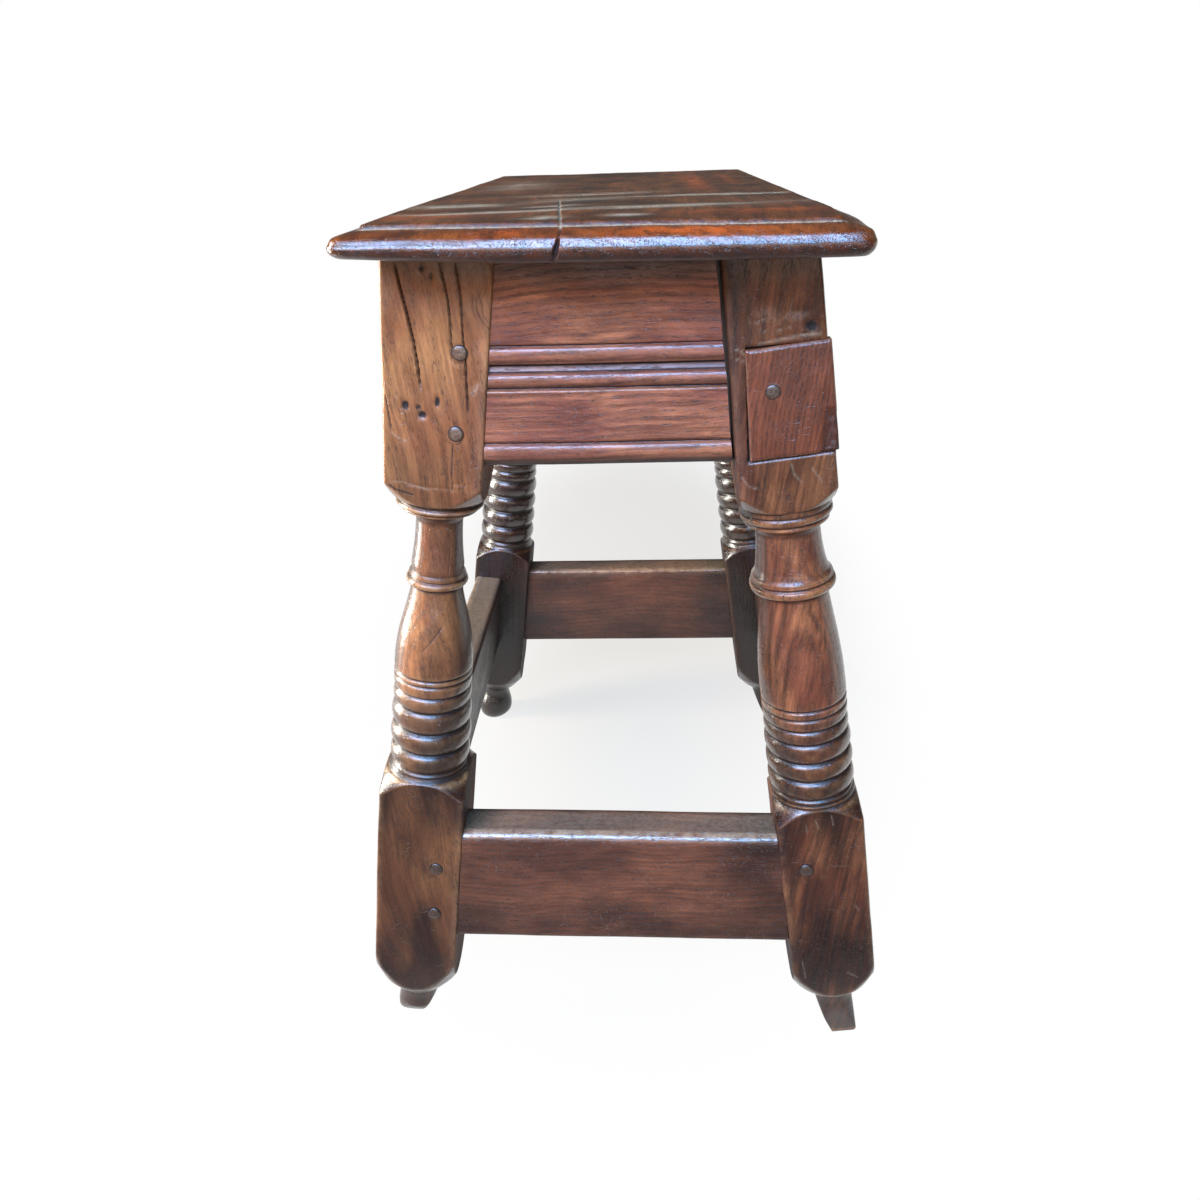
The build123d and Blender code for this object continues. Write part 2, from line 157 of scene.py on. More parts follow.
def old_oak(name, turn, shift, tones, ring=3.4, gloss=0.24, grit=1.0, figure=1.0):
    """Oak, planed or turned, stained near black in its pores by wax and soot and rubbed bright on its high
    parts: dark figure under a soft shine. tones are its shadow, body, glow and bare-wood colours, turn and
    shift lay the tree's grain, and ring is the millimetres from one growth ring to the next."""
    shadow, body, glow, bare = (linear(code) for code in tones)
    material = bpy.data.materials.new(name)
    material.use_nodes = True
    tree = material.node_tree
    tree.nodes.clear()
    wear, grime, split, smoke, dust, dry, polish = (
        add(tree, "ShaderNodeAttribute", attribute_name=mark).outputs["Fac"]
        for mark in ("wear", "grime", "split", "smoke", "dust", "dry", "polish"))
    place = add(tree, "ShaderNodeTexCoord").outputs["Object"]
    timber = add(tree, "ShaderNodeMapping", {"Vector": place, "Location": shift, "Rotation": turn,
                                             "Scale": (1000, 1000, 1000)}).outputs["Vector"]
    # The fibres wander a few millimetres off straight over a hand's length.
    sway = add(tree, "ShaderNodeTexNoise", {"Vector": timber, "Scale": 0.011, "Detail": 1.0})
    sway = add(tree, "ShaderNodeVectorMath", {0: sway.outputs["Color"], 1: (0.5, 0.5, 0.5)},
               operation="SUBTRACT")
    sway = add(tree, "ShaderNodeVectorMath", {0: sway.outputs[0], 1: (16.0, 16.0, 0.0)}, operation="MULTIPLY")
    bent = add(tree, "ShaderNodeVectorMath", {0: timber, 1: sway.outputs[0]}, operation="ADD").outputs[0]
    long_fibre, short_fibre = (
        add(tree, "ShaderNodeVectorMath", {0: bent, 1: (1.0, 1.0, squeeze)}, operation="MULTIPLY").outputs[0]
        for squeeze in (0.035, 0.16))
    rings = add(tree, "ShaderNodeTexWave", {"Vector": bent, "Scale": 0.314 / ring, "Distortion": 2.2,
                                            "Detail": 2.0, "Detail Scale": 0.3},
                wave_type="RINGS", rings_direction="Z", wave_profile="SIN").outputs["Fac"]
    # Open pores are 0.3 mm wide in oak; they are drawn 0.5 mm wide so that they show.
    pore = add(tree, "ShaderNodeTexNoise",
               {"Vector": short_fibre, "Scale": 1.5, "Detail": 2.0, "Roughness": 0.6})
    pore = add(tree, "ShaderNodeMapRange", {"Value": pore.outputs["Fac"], "From Min": 0.54, "From Max": 0.64})
    porous = add(tree, "ShaderNodeMapRange", {"Value": rings, "To Min": 0.3, "To Max": 1.0}).outputs[0]
    pore = add(tree, "ShaderNodeMath", {0: pore.outputs[0], 1: porous}, operation="MULTIPLY").outputs[0]
    pits = add(tree, "ShaderNodeMath", {0: pore, 1: 0.6}, operation="MULTIPLY").outputs[0]
    # Dark streaks follow the fibres, and the late wood of every ring is a little darker.
    streak = add(tree, "ShaderNodeTexNoise",
                 {"Vector": long_fibre, "Scale": 0.42, "Detail": 7.0, "Roughness": 0.68})
    streak = add(tree, "ShaderNodeMapRange", {"Value": streak.outputs["Fac"], "From Min": 0.30,
                                              "From Max": 0.68}).outputs[0]
    dark = add(tree, "ShaderNodeMapRange", {"Value": streak, "From Min": 0.0, "From Max": 1.0,
                                            "To Min": 0.85 * figure, "To Max": 0.0}).outputs[0]
    late = add(tree, "ShaderNodeMapRange", {"Value": rings, "From Min": 0.35, "To Min": 0.0,
                                            "To Max": 0.30 * figure}).outputs[0]
    # The old finish glows where it is thin and is brown where it is thick, in clouds of about 30 mm.
    cloud = add(tree, "ShaderNodeVectorMath", {0: timber, 1: (1.0, 1.0, 0.5)},
                operation="MULTIPLY").outputs[0]
    cloud = add(tree, "ShaderNodeTexNoise",
                {"Vector": cloud, "Scale": 0.032, "Detail": 5.0, "Roughness": 0.62})
    cloud = add(tree, "ShaderNodeMapRange", {"Value": cloud.outputs["Fac"], "From Min": 0.40,
                                             "From Max": 0.62}).outputs[0]
    # Hands rub through the wax in patches, not evenly.
    rub = add(tree, "ShaderNodeTexNoise", {"Vector": timber, "Scale": 0.13, "Detail": 6.0, "Roughness": 0.7})
    rub = add(tree, "ShaderNodeMapRange", {"Value": rub.outputs["Fac"], "From Min": 0.34, "From Max": 0.58,
                                           "To Max": 0.8})
    rub = add(tree, "ShaderNodeMath", {0: rub.outputs[0], 1: wear}, operation="MULTIPLY").outputs[0]
    # Old wax and dust lie cream-coloured on the ridges that the cloth misses; the same cream also serves as
    # painted light and painted reflection on some pieces.
    speck = add(tree, "ShaderNodeTexNoise", {"Vector": timber, "Scale": 0.5, "Detail": 4.0, "Roughness": 0.7})
    speck = add(tree, "ShaderNodeMapRange",
                {"Value": speck.outputs["Fac"], "From Min": 0.40, "From Max": 0.60})
    speck = add(tree, "ShaderNodeMapRange", {"Value": speck.outputs[0], "To Min": 0.45}).outputs[0]
    dusty = add(tree, "ShaderNodeMath", {0: dust, 1: speck}, operation="MULTIPLY").outputs[0]
    # Hairline scratches come in clusters, run every way and show pale where they cut the wax.
    cluster = add(tree, "ShaderNodeTexNoise", {"Vector": timber, "Scale": 0.05, "Detail": 2.0}).outputs["Fac"]
    cluster = add(tree, "ShaderNodeMapRange",
                  {"Value": cluster, "From Min": 0.46, "From Max": 0.62}).outputs[0]
    scratch = 0.0
    for bearing in (0.5, 1.2, 1.9, 2.7):
        lay = add(tree, "ShaderNodeMapping",
                  {"Vector": timber, "Rotation": (bearing, bearing * 1.7, bearing * 0.6)})
        lay = add(tree, "ShaderNodeVectorMath", {0: lay.outputs[0], 1: (1.0, 1.0, 0.05)},
                  operation="MULTIPLY")
        hair = add(tree, "ShaderNodeTexNoise", {"Vector": lay.outputs[0], "Scale": 1.1, "Detail": 1.0})
        hair = add(tree, "ShaderNodeMapRange",
                   {"Value": hair.outputs["Fac"], "From Min": 0.70, "From Max": 0.76})
        scratch = add(tree, "ShaderNodeMath", {0: scratch, 1: hair.outputs[0]},
                      operation="MAXIMUM").outputs[0]
    scratch = add(tree, "ShaderNodeMath", {0: scratch, 1: cluster}, operation="MULTIPLY").outputs[0]
    pale = add(tree, "ShaderNodeMath", {0: scratch, 1: 0.2 * grit}, operation="MULTIPLY").outputs[0]
    # The colours lie over one another, the first at the bottom. Smoke and painted shade darken the grain but
    # let it show; dirt and painted shade lie near black on it.
    colour = body
    for share, tone, blend in (
            (cloud, glow, "MIX"), (dark, shadow, "MIX"), (late, shadow, "MIX"),
            (smoke, linear(smoke_tint), "MULTIPLY"), (rub, bare, "MIX"), (pits, linear("140b08"), "MIX"),
            (grime, linear("110a08"), "MIX"), (split, linear("040302"), "MIX"),
            (dusty, linear("b5a083"), "MIX"), (pale, linear("95806f"), "MIX")):
        colour = add(tree, "ShaderNodeMix", {"Factor": share, "A": colour, "B": tone}, data_type="RGBA",
                     blend_type=blend).outputs["Result"]
    # Wax is smeared unevenly. Pores, dirt and painted shade, splits and dry wood are duller than it, rubbed
    # wood is shinier.
    smear_and_sheen = add(tree, "ShaderNodeTexNoise",
                {"Vector": timber, "Scale": 0.06, "Detail": 6.0, "Roughness": 0.7})
    rough = add(tree, "ShaderNodeMapRange", {"Value": smear_and_sheen.outputs["Fac"], "From Min": 0.3, "From Max": 0.7,
                                             "To Min": gloss - 0.06, "To Max": gloss + 0.12}).outputs[0]
    for part, change in ((pore, 0.2), (grime, 0.2), (split, 0.5), (wear, -0.06), (dry, 0.5)):
        rough = add(tree, "ShaderNodeMath", {0: part, 1: change, 2: rough},
                    operation="MULTIPLY_ADD").outputs[0]
    # The surface rises and falls with pore, ring, plane stroke and scratch.
    waves = add(tree, "ShaderNodeTexNoise",
                {"Vector": timber, "Scale": 0.22, "Detail": 3.0, "Roughness": 0.55})
    relief = 0.0
    for part, height in ((pore, -0.5), (streak, 0.15), (rings, 0.15), (scratch, -0.6),
                         (waves.outputs["Fac"], 0.4)):
        relief = add(tree, "ShaderNodeMath", {0: part, 1: height, 2: relief},
                     operation="MULTIPLY_ADD").outputs[0]
    bump = add(tree, "ShaderNodeBump",
               {"Height": relief, "Strength": 0.8, "Distance": 0.0002 * grit}).outputs[0]
    # The wax is the coat. It is full where it is polished and gone from splits, dirt, painted shade and dry
    # wood.
    open_wax = add(tree, "ShaderNodeMath", {0: split, 1: grime}, operation="MAXIMUM").outputs[0]
    open_wax = add(tree, "ShaderNodeMath", {0: open_wax, 1: dry}, operation="MAXIMUM").outputs[0]
    open_wax = add(tree, "ShaderNodeMath", {0: open_wax, 1: -0.9, 2: 1.0},
                   operation="MULTIPLY_ADD").outputs[0]
    coat = add(tree, "ShaderNodeMapRange", {"Value": polish, "To Min": 0.25, "To Max": 1.0}).outputs[0]
    coat = add(tree, "ShaderNodeMath", {0: coat, 1: open_wax}, operation="MULTIPLY").outputs[0]
    surface = add(tree, "ShaderNodeBsdfPrincipled", {
        "Base Color": colour, "Roughness": rough, "IOR": 1.5, "Coat Weight": coat,
        "Coat Roughness": 0.2, "Coat IOR": 1.5, "Normal": bump, "Coat Normal": bump})
    add(tree, "ShaderNodeOutputMaterial", {"Surface": surface.outputs[0]})
    return material


def up(height):
    """Distance along a leg's axis of a height above the floor."""
    return (height + half_stock * math.sin(lean)) / math.cos(lean)


def inner_face(height):
    """How far a leg's inner face stands from the stool's middle at a height above the floor."""
    return frame_half_width + (leg_top - height) * math.tan(lean) - leg_stock / math.cos(lean)


def stand(outward, sideways, along, side):
    """Places points of a side frame: outward from the legs' outer face, along the lean from the floor."""
    x = foot_half_width + outward * math.cos(lean) - along * math.sin(lean)
    z = outward * math.sin(lean) + along * math.cos(lean)
    return np.stack([side * x, sideways, z], -1)


def softer(a, b, blend):
    """The lesser of two lengths, with a rounded arris where they meet."""
    close = np.maximum(blend - np.abs(a - b), 0)
    return np.minimum(a, b) - close * close / (4 * blend)


def turning(t):
    """The leg's radius at each distance along its axis, as a lathe would leave it in a big enough square."""
    wide, shoulder = half_stock * 1.5, half_stock * 0.414
    # The foot and the swell up to the lower block.
    ankle, rise = t["ankle"], t["foot_shoulder"] - t["ankle"]
    marks = list(t["foot"])
    marks += [(ankle + rise * share, radius) for share, radius in (
        (0, 13.4), (0.06, 15.0), (0.15, 20.0), (0.38, 27.5), (0.68, 33.6), (1, 37.6))]
    marks.append((ankle + rise + 7, wide))
    # The top of the lower block, a flat cushion on it, and the beads above.
    start, low, bead = t["block_start"], t["notches"][-1], t["bead"]
    rest = (low - start) / 2
    marks += [(start - shoulder - 2, wide), (start - shoulder * 0.72, 34.0), (start - shoulder * 0.40, 31.0),
              (start - shoulder * 0.15, 28.4), (start - 0.3, 26.9), (start + 0.3, 26.0),
              (start + 0.5, bead - 0.2), (start + rest * 0.8, bead - 0.1), (start + rest * 0.95, bead - 1.8),
              (start + rest * 1.1, bead - 1.8), (start + rest * 1.25, bead - 1.0),
              (low - rest * 0.25, bead - 1.6), (low - 0.25, bead - 4.2)]
    for top, foot, size, depth in zip(t["notches"][:-1], t["notches"][1:], t["beads"], t["valleys"]):
        share = np.linspace(0.02, 0.98, 21)
        swell = np.sqrt(1 - np.abs(2 * share - 1) ** 2.2)
        marks += list(zip(foot + share * (top - foot), size - depth * (1 - swell)))
    # A plain band with two scored lines.
    ridge, girth = t["notches"][0], t["vase"]
    high_line, low_line = t["lines"]
    marks += [(ridge + away, girth - deep) for away, deep in ((0.1, 2.0), (0.7, 2.0), (1.2, 0.5), (3.0, 0.1))]
    for line in (low_line, high_line):
        marks += [(line + away, girth - deep) for away, deep in (
            (-1.3, -0.1), (-0.7, 0.3), (-0.45, 1.4), (0.25, 1.4), (0.6, 0.4), (1.2, 0.05))]
    # The vase, drawn in to the neck.
    span, vase_top = t["ring_end"] - high_line, t["vase_top"]
    marks += [(high_line + span * share, vase_top + (girth - vase_top) * part) for share, part in (
        (0.10, 0.985), (0.2, 0.945), (0.32, 0.87), (0.44, 0.75), (0.56, 0.58), (0.68, 0.39),
        (0.8, 0.2), (0.9, 0.06), (0.975, 0.0))]
    # The ring round the neck: a bead with a fine lip and a quirk above it.
    tall = t["ring_top"] - t["ring_end"]
    for share, step in ((0.0, 99), (0.02, 2.6), (0.08, 1.2), (0.18, 0.4), (0.3, 0.0), (0.42, 0.15),
                        (0.5, 0.7), (0.55, 1.7), (0.57, 2.7), (0.61, 2.7), (0.63, 1.6), (0.68, 1.2),
                        (0.74, 1.3), (0.755, 2.0), (0.785, 2.0), (0.8, 1.6), (0.86, 1.7), (0.89, 2.6),
                        (0.93, 2.7), (1.0, 3.4)):
        base = vase_top if share < 0.5 else t["neck_base"]
        marks.append((t["ring_end"] + tall * share, max(t["ring"] - step, base - 0.3)))
    neck, neck_base, neck_low = t["neck"], t["neck_base"], t["ring_top"] + 2.5
    for share in (0.05, 0.25, 0.5, 0.75, 0.97):
        marks.append((neck_low + (t["neck_top"] - neck_low) * share,
                      neck_base + (neck - neck_base) * share - 0.5 * math.sin(math.pi * share)))
    # The cup under the collar, the collar with its lines, and the shoulder of the upper block.
    end, cup, block, deep = t["collar_end"], t["neck_top"], t["block_end"], t["collar"] - neck
    marks.append((cup + 0.6, neck + 0.3))
    marks += [(cup + (end - cup) * share, neck + deep * part) for share, part in (
        (0.35, 0.12), (0.6, 0.26), (0.85, 0.48))]
    marks.append((end - 0.3, neck + deep * 0.6))
    marks += [(end + (block - end) * share, neck + deep * part) for share, part in (
        (0, 0.71), (0.17, 0.73), (0.19, 0.62), (0.23, 0.66), (0.26, 0.82), (0.33, 0.93), (0.45, 1.0),
        (0.57, 0.97), (0.64, 0.89), (0.67, 0.82), (0.71, 0.82), (0.74, 0.95), (0.93, 0.97))]
    marks += [(block - 0.3, half_stock - 1.4), (block + 0.5, half_stock + 0.6),
              (block + shoulder * 0.35, 30.0), (block + shoulder * 0.8, 34.0),
              (block + shoulder * 1.35, wide), (leg_top + 30, wide)]
    marks = np.array(marks)
    along = up(0) + marks[:, 0] / math.cos(lean)
    order = np.argsort(along, kind="stable")
    return along[order], marks[order, 1]


# The feet as (height, radius), and each leg's turning by height and radius.
worn_round = [(0.0, 0.0), (0.15, 2.4), (1.2, 5.4), (3.0, 8.2), (5.6, 10.9), (9.0, 12.9), (13, 14.0),
              (18, 14.3), (24, 13.6), (28, 13.2)]
worn_square = [(-0.6, 0.0), (-0.5, 13.0), (0.2, 15.8), (1.0, 17.0), (2.4, 17.4), (6.5, 17.2), (11, 16.6),
               (20, 15.0), (28, 13.6)]
pear = [(0.0, 11.3), (0.8, 12.4), (3, 14.2), (6, 15.8), (9.5, 16.8), (13, 17.0), (17, 16.5), (21, 15.3),
        (25, 13.8), (28, 13.0)]
left_turning = dict(
    foot=worn_round, ankle=34.0, foot_shoulder=79.0, block_start=211.0,
    bead=24.2, notches=(267.6, 258.0, 242.8, 228.7, 215.2), beads=(23.4, 24.0, 24.4, 24.2),
    valleys=(2.4, 4.2, 4.6, 4.6), lines=(279.9, 275.9), vase=23.3, vase_top=14.9, ring_end=334.0,
    ring_top=343.0, ring=17.8, neck_base=15.3, neck=13.2, neck_top=374.5, collar_end=381.0, collar=24.8,
    block_end=389.0)
right_turning = dict(
    foot=worn_square, ankle=34.0, foot_shoulder=73.0, block_start=192.2,
    bead=26.0, notches=(245.6, 236.8, 223.6, 211.0, 198.0), beads=(25.3, 25.9, 26.2, 26.2),
    valleys=(2.2, 4.0, 4.4, 4.4), lines=(259.7, 254.0), vase=25.3, vase_top=19.8, ring_end=329.5,
    ring_top=340.5, ring=24.6, neck_base=20.3, neck=18.0, neck_top=366.0, collar_end=371.5, collar=26.2,
    block_end=383.0)
back_turning = dict(
    foot=worn_square, ankle=32.5, foot_shoulder=76.0, block_start=197.0,
    bead=25.4, notches=(276.0, 267.0, 251.0, 235.5, 220.0, 203.5), beads=(24.4, 25.2, 25.4, 25.6, 25.6),
    valleys=(2.4, 4.2, 4.6, 4.6, 4.6), lines=(290.0, 284.0), vase=24.4, vase_top=18.2, ring_end=334.0,
    ring_top=344.0, ring=22.8, neck_base=18.4, neck=16.5, neck_top=369.5, collar_end=375.0, collar=25.6,
    block_end=386.0)


def leg_grid(t, fine):
    """Distances along a leg, closest on its turned part, and angles round it, closest on its front."""
    foot_end, turned_start = up(t["foot_shoulder"]) + 2, up(t["block_start"]) - 13
    turned_end, high = up(t["block_end"]) + 16, up(leg_top)
    along = np.concatenate([
        np.arange(up(t["foot"][0][0]), foot_end, 1.05), np.arange(foot_end, turned_start, 2.0),
        np.arange(turned_start, turned_end, 0.72 * fine), np.arange(turned_end, high - 0.4, 1.15 * fine),
        [high]])
    angles = []
    outer, back, inner, front = 30, 22, 30, int(96 / fine)
    for quarter, cells in enumerate((outer, back, inner, front)):
        steps = np.linspace(-1, 1, cells + 1)[:-1]
        angles.append(quarter * math.pi / 2 + np.arctan(steps))
    return along, np.concatenate(angles)


def wear_down(outward, sideways, foot_part, foot, side):
    """Cuts the flats that floors have left on a foot: one sloping inside, and a slanting or square front."""
    low_part = foot_part < 40
    if side < 0:
        inner = -4.6 + 16.4 * np.clip(foot_part / 28, 0, 1.4)
    else:
        inner = 3.2 + 9.3 * np.clip(foot_part / 30, 0, 1.4)
    outward = np.where(low_part, -softer(-outward, inner, 2.0), outward)
    if foot is worn_square:
        outward = np.where(low_part, softer(outward, 12.8, 1.4), outward)
        front_cut = 11.0 + 3.2 * np.clip(foot_part / 24, 0, 1.2)
        sideways = np.where(low_part, -softer(-sideways, front_cut, 1.6), sideways)
        return outward, np.where(low_part, softer(sideways, 13.6, 1.6), sideways)
    front_cut = np.where(foot_part < 22, -3.5 + 18.5 * np.clip(foot_part / 22, 0, 1), 100)
    return outward, np.where(foot_part < 22, -softer(-sideways, front_cut, 7.0), sideways)


def high_and_low(along, heights, radii, bead):
    """How far a place on the turning stands proud of its surroundings, and how far it lies below a bead."""
    dense = np.arange(along[0], along[-1], 0.25)
    form = np.minimum(np.interp(dense, heights, radii), half_stock * 1.05)
    kernel = np.exp(-(np.arange(-24, 25) * 0.25 / 2.4) ** 2)
    around = np.convolve(np.pad(form, 24, mode="edge"), kernel / kernel.sum(), mode="valid")
    bounded = np.minimum(form, bead)
    crest = np.max([np.roll(bounded, shift) for shift in range(-28, 29, 2)], axis=0)
    return np.interp(along, dense, form - around)[:, None], np.interp(along, dense, crest - form)[:, None]


def leg(name, node, side, end, t, oak, fine, seed, smoke_at, splits=(), dents=(), heads=(), scores=(),
        strokes=(), let_in=None, bulge=0.0, pared=None, head_painted_light=0.0):
    """One leg: its lathe form where that is inside the square, the square elsewhere, then its wear and
    painted shade. side and end say which leg it is, t is its turning and fine how coarse its grid is. bulge
    swells the head's outer side, pared takes wood off the inner one, let_in is a patch's recess, and the last
    argument paints pale light on the front of the head just under the seat."""
    heights, radii = turning(t)
    along, angles = leg_grid(t, fine)
    high = along[-1]
    s, a = np.meshgrid(along, angles, indexing="ij")
    lathe = np.interp(s, heights, radii)
    raw = np.stack([np.cos(a) * 26, np.sin(a) * 26, s], -1)
    worn = 26 + 14 * unevenness(raw, (20, 20, 26), seed)
    square = half_stock / (np.abs(np.cos(a)) ** worn + np.abs(np.sin(a)) ** worn) ** (1 / worn)
    square = square + unevenness(raw, (18, 18, 40), seed + 1) * 0.35 - 0.35
    girth = softer(lathe, square, 1.3)
    girth = girth + unevenness(raw, (9, 9, 12), seed + 2) * 0.12 * (girth > 5)
    swelling = bulge * np.clip((s - 400) / 125, 0, 1) * np.clip(np.cos(a) * 2, 0, 1)

    # What time did to the front face, by distance in from its outer arris and along the leg.
    on_front = (np.sin(a) < -0.70) & (square < lathe + 1)
    face_x = np.cos(a) * girth + swelling - half_stock
    mark, sunk = np.zeros_like(s), np.zeros_like(s)
    for line, width, depth in splits:
        near = near_line(face_x + 0.35 * unevenness(raw, (4, 4, 7), seed + 5), s, line, width) * on_front
        mark = np.maximum(mark, near)
        sunk = np.maximum(sunk, depth * np.minimum(near * 1.6, 1))
    for x, height, across, tall, depth in dents:
        near = np.exp(-((face_x - x) / across) ** 2 - ((s - height) / tall) ** 2) * on_front
        sunk = sunk + near * depth
        mark = np.maximum(mark, np.clip(near * 2.2 - 0.7, 0, 0.42) * (depth > 0.9))
    for x, height in heads:
        apart = np.hypot(face_x - x, s - height)
        mark = np.maximum(mark, np.exp(-((apart - 4.5) / 0.35) ** 2) * on_front * 0.25)
        sunk = sunk + np.exp(-((apart - 5.0) / 0.9) ** 2) * on_front * 0.35
    # Painted light: a pale wash on the front of the head, just under the seat.
    scuffs_and_painted_light = head_painted_light * ease(up(484), up(512), s) * on_front
    for line, width, pale in strokes:
        near = near_stroke(face_x, s, line, width) * on_front
        scuffs_and_painted_light = np.maximum(scuffs_and_painted_light, near * max(pale, 0))
        mark = np.maximum(mark, near * max(-pale, 0))
        sunk = sunk + near * 0.25
    around_front = (np.mod(a, 2 * math.pi) - 1.5 * math.pi) * 20
    for line, width, depth in scores:
        near = near_line(around_front, s, line, width) * (lathe < square)
        mark = np.maximum(mark, near * 0.3)
        girth = girth - near * depth

    outward, sideways = np.cos(a) * girth + swelling, np.sin(a) * girth
    if pared:
        outward = outward + np.interp(s, *zip(*pared)) * np.clip(-outward / half_stock, 0, 1)
    if let_in:
        x_low, x_high, s_low, s_high, depth = let_in
        x_low = x_low + 3.4 * np.clip((s - s_low) / (s_high - s_low), 0, 1)
        inside = (face_x > x_low) & (face_x < x_high) & (s > s_low) & (s < s_high) & on_front
        sunk = sunk + inside * depth
        mark = np.maximum(mark, inside * 0.5)
    sideways = sideways + sunk
    foot_part = s - up(0)
    if t["foot"] is not pear:
        outward, sideways = wear_down(outward, sideways, foot_part, t["foot"], side)
    # The leg's top and a whole foot's sole are sawn level, though the leg leans.
    s = s + ease(440, high, s) * ((leg_top - (outward - half_stock) * math.sin(lean)) / math.cos(lean) - high)
    if t["foot"] is pear:
        s = s - (1 - ease(0, 9, foot_part)) * outward * math.tan(lean)
    points = stand(outward - half_stock, end * leg_middle + sideways, s, side)
    points[..., 2] = np.clip(points[..., 2], 0, leg_top)

    # Crowns and arrises are rubbed; the hollows between the beads and the sides of the turnings get painted
    # shade.
    proud, below = high_and_low(along, heights, radii, t["bead"])
    turned = ease(0.2, 1.2, square - lathe)
    arris = np.clip((np.abs(np.cos(a) * np.sin(a)) * 2 - 0.982) / 0.018, 0, 1) * (1 - turned)
    wear = np.maximum(np.clip(proud / 0.9, 0, 1) * turned * 0.6, arris * 0.15)
    wear = np.maximum(wear, np.exp(-((lathe - square) / 0.6) ** 2) * 0.2)
    near_bead = (s > up(t["block_start"]) - 2) & (s < up(t["lines"][0]) + 3)
    # Painted shade in the hollows and below the beads' crests, and dirt near the foot.
    grime = np.maximum(np.clip(-proud / 0.8, 0, 1) * 0.95, ease(0.9, 3.2, below) * 0.9 * near_bead) * turned
    grime = np.maximum(grime, 0.3 * (1 - ease(0, 55, foot_part)))
    # Painted shade by height from the foot, and on the sides of the turnings.
    smoke = np.interp(foot_part, *zip(*smoke_at)) + 0.75 * turned * ease(11, 25, np.abs(around_front))
    smoke = smoke + 0.3 * (0.25 + smoke) * unevenness(raw, (12, 12, 30), seed + 9)
    shares = dict(wear=wear, grime=grime, split=mark * 2.2, smoke=smoke, dust=scuffs_and_painted_light,
                  dry=ease(0.55, 0.8, -np.cos(a)) * (1 - turned), polish=turned * (0.35 + 0.65 * near_bead))

    rows, columns = s.shape
    points = points.reshape(-1, 3)
    bottom, top, last = len(points), len(points) + 1, (rows - 1) * columns
    points = np.concatenate([points, points[:columns].mean(0)[None], points[-columns:].mean(0)[None]])
    faces = grid_faces(rows, columns, closed=True)
    faces += [[bottom, (j + 1) % columns, j] for j in range(columns)]
    faces += [[top, last + j, last + (j + 1) % columns] for j in range(columns)]
    marks = {label: np.append(share, [0.0, 0.0]) for label, share in shares.items()}
    work = skin(name, points, faces, oak, node, **marks)
    return work


# The left leg is the palest, golden and satin: partly its own worn wood and partly painted light from the
# left. The right one keeps its ruddy old finish. The back legs are nearly black with painted shade, with a
# keen shine on their beads.
left_oak = old_oak("leg_oak_golden", (0, lean, 0), (95, 40, 10), ("38180c", "a25f37", "c6814b", "d3a068"),
                   ring=3.6, gloss=0.29, figure=0.7)
right_oak = old_oak("leg_oak_ruddy", (0, -lean, 0), (-70, 85, 300), ("2a110a", "985132", "cc7e4a", "c98c56"),
                    ring=3.0, gloss=0.25)
back_oak = old_oak("leg_oak_shadowed", (0, 0, 0), (40, -60, 700), ("0e0807", "2a1610", "4a2616", "80522f"),
                   ring=3.2, gloss=0.22, grit=0.7)

# Splits and scores: (line, half width, depth). Dents: (across, along, half width, half height, depth).
# Strokes: (line, half width, pale), where a pale below 0 is a dark bruise.
left_splits = [
    ([(-3.6, 526), (-6.5, 514), (-9.0, 505), (-14.0, 485.6), (-18.6, 460)], 0.62, 5.0),
    ([(-25.0, 527), (-27.5, 518), (-30.4, 507.4), (-33.2, 487.6), (-34.0, 476)], 0.42, 3.0),
    ([(-33.2, 527), (-35.0, 517), (-36.8, 508), (-39.2, 488.2), (-41.7, 467.8), (-44.0, 448)], 0.45, 3.0),
    ([(-0.4, 455.5), (-3.8, 437)], 0.4, 1.5), ([(-36.0, 434), (-37.0, 405)], 0.3, 0.6)]
left_dents = [
    (-10.8, 451.3, 2.0, 2.6, 1.2), (-19.8, 446.9, 2.4, 2.0, 1.6), (-17.6, 450.5, 1.6, 1.4, 1.2),
    (-27.3, 454.6, 1.5, 3.0, 1.3), (-46.4, 465.6, 2.2, 3.2, 0.8), (-16.9, 522.6, 1.6, 1.6, 1.4),
    (-22.0, 518.3, 0.8, 2.4, 1.2), (-28, 407.5, 16, 1.0, 0.35), (-40, 410.5, 6, 1.2, 0.5)]
left_heads = list(zip((-36.8, -37.5, -37.7, -35.2), map(up, rail_peg_heights + stretcher_peg_heights)))
left_scores = [
    ([(-8.4, 320.5), (3.6, 303.5)], 0.6, 0.5), ([(-14.5, 371), (-12.5, 358), (-11.5, 349)], 0.5, 0.5)]
left_strokes = [
    ([(-47.8, 512.8), (-45.1, 507.4), (-45.2, 502.2), (-47.9, 497.2), (-51.7, 493.1)], 0.5, -0.3),
    ([(-49.9, 513.0), (-47.4, 506.7), (-48.9, 499.0), (-51.9, 495.5)], 0.5, -0.3),
    ([(-43.1, 509.2), (-43.0, 503.7), (-45.1, 498.3)], 0.5, -0.25),
    ([(-4.1, 435.7), (-7.8, 433.2), (-13.1, 431.3)], 0.6, 0.5),
    ([(-3.6, 406.4), (-6.6, 404.3), (-16.1, 402.2)], 0.8, -0.5),
    ([(-4.7, 408.5), (-10.3, 409.1), (-15.9, 407.7), (-25.3, 405.8)], 0.7, 0.35),
    ([(-44.8, 460.7), (-47.2, 462.8), (-47.8, 466.2)], 0.6, 0.6),
    ([(-44.4, 460.0), (-46.6, 461.6)], 0.6, -0.5)]
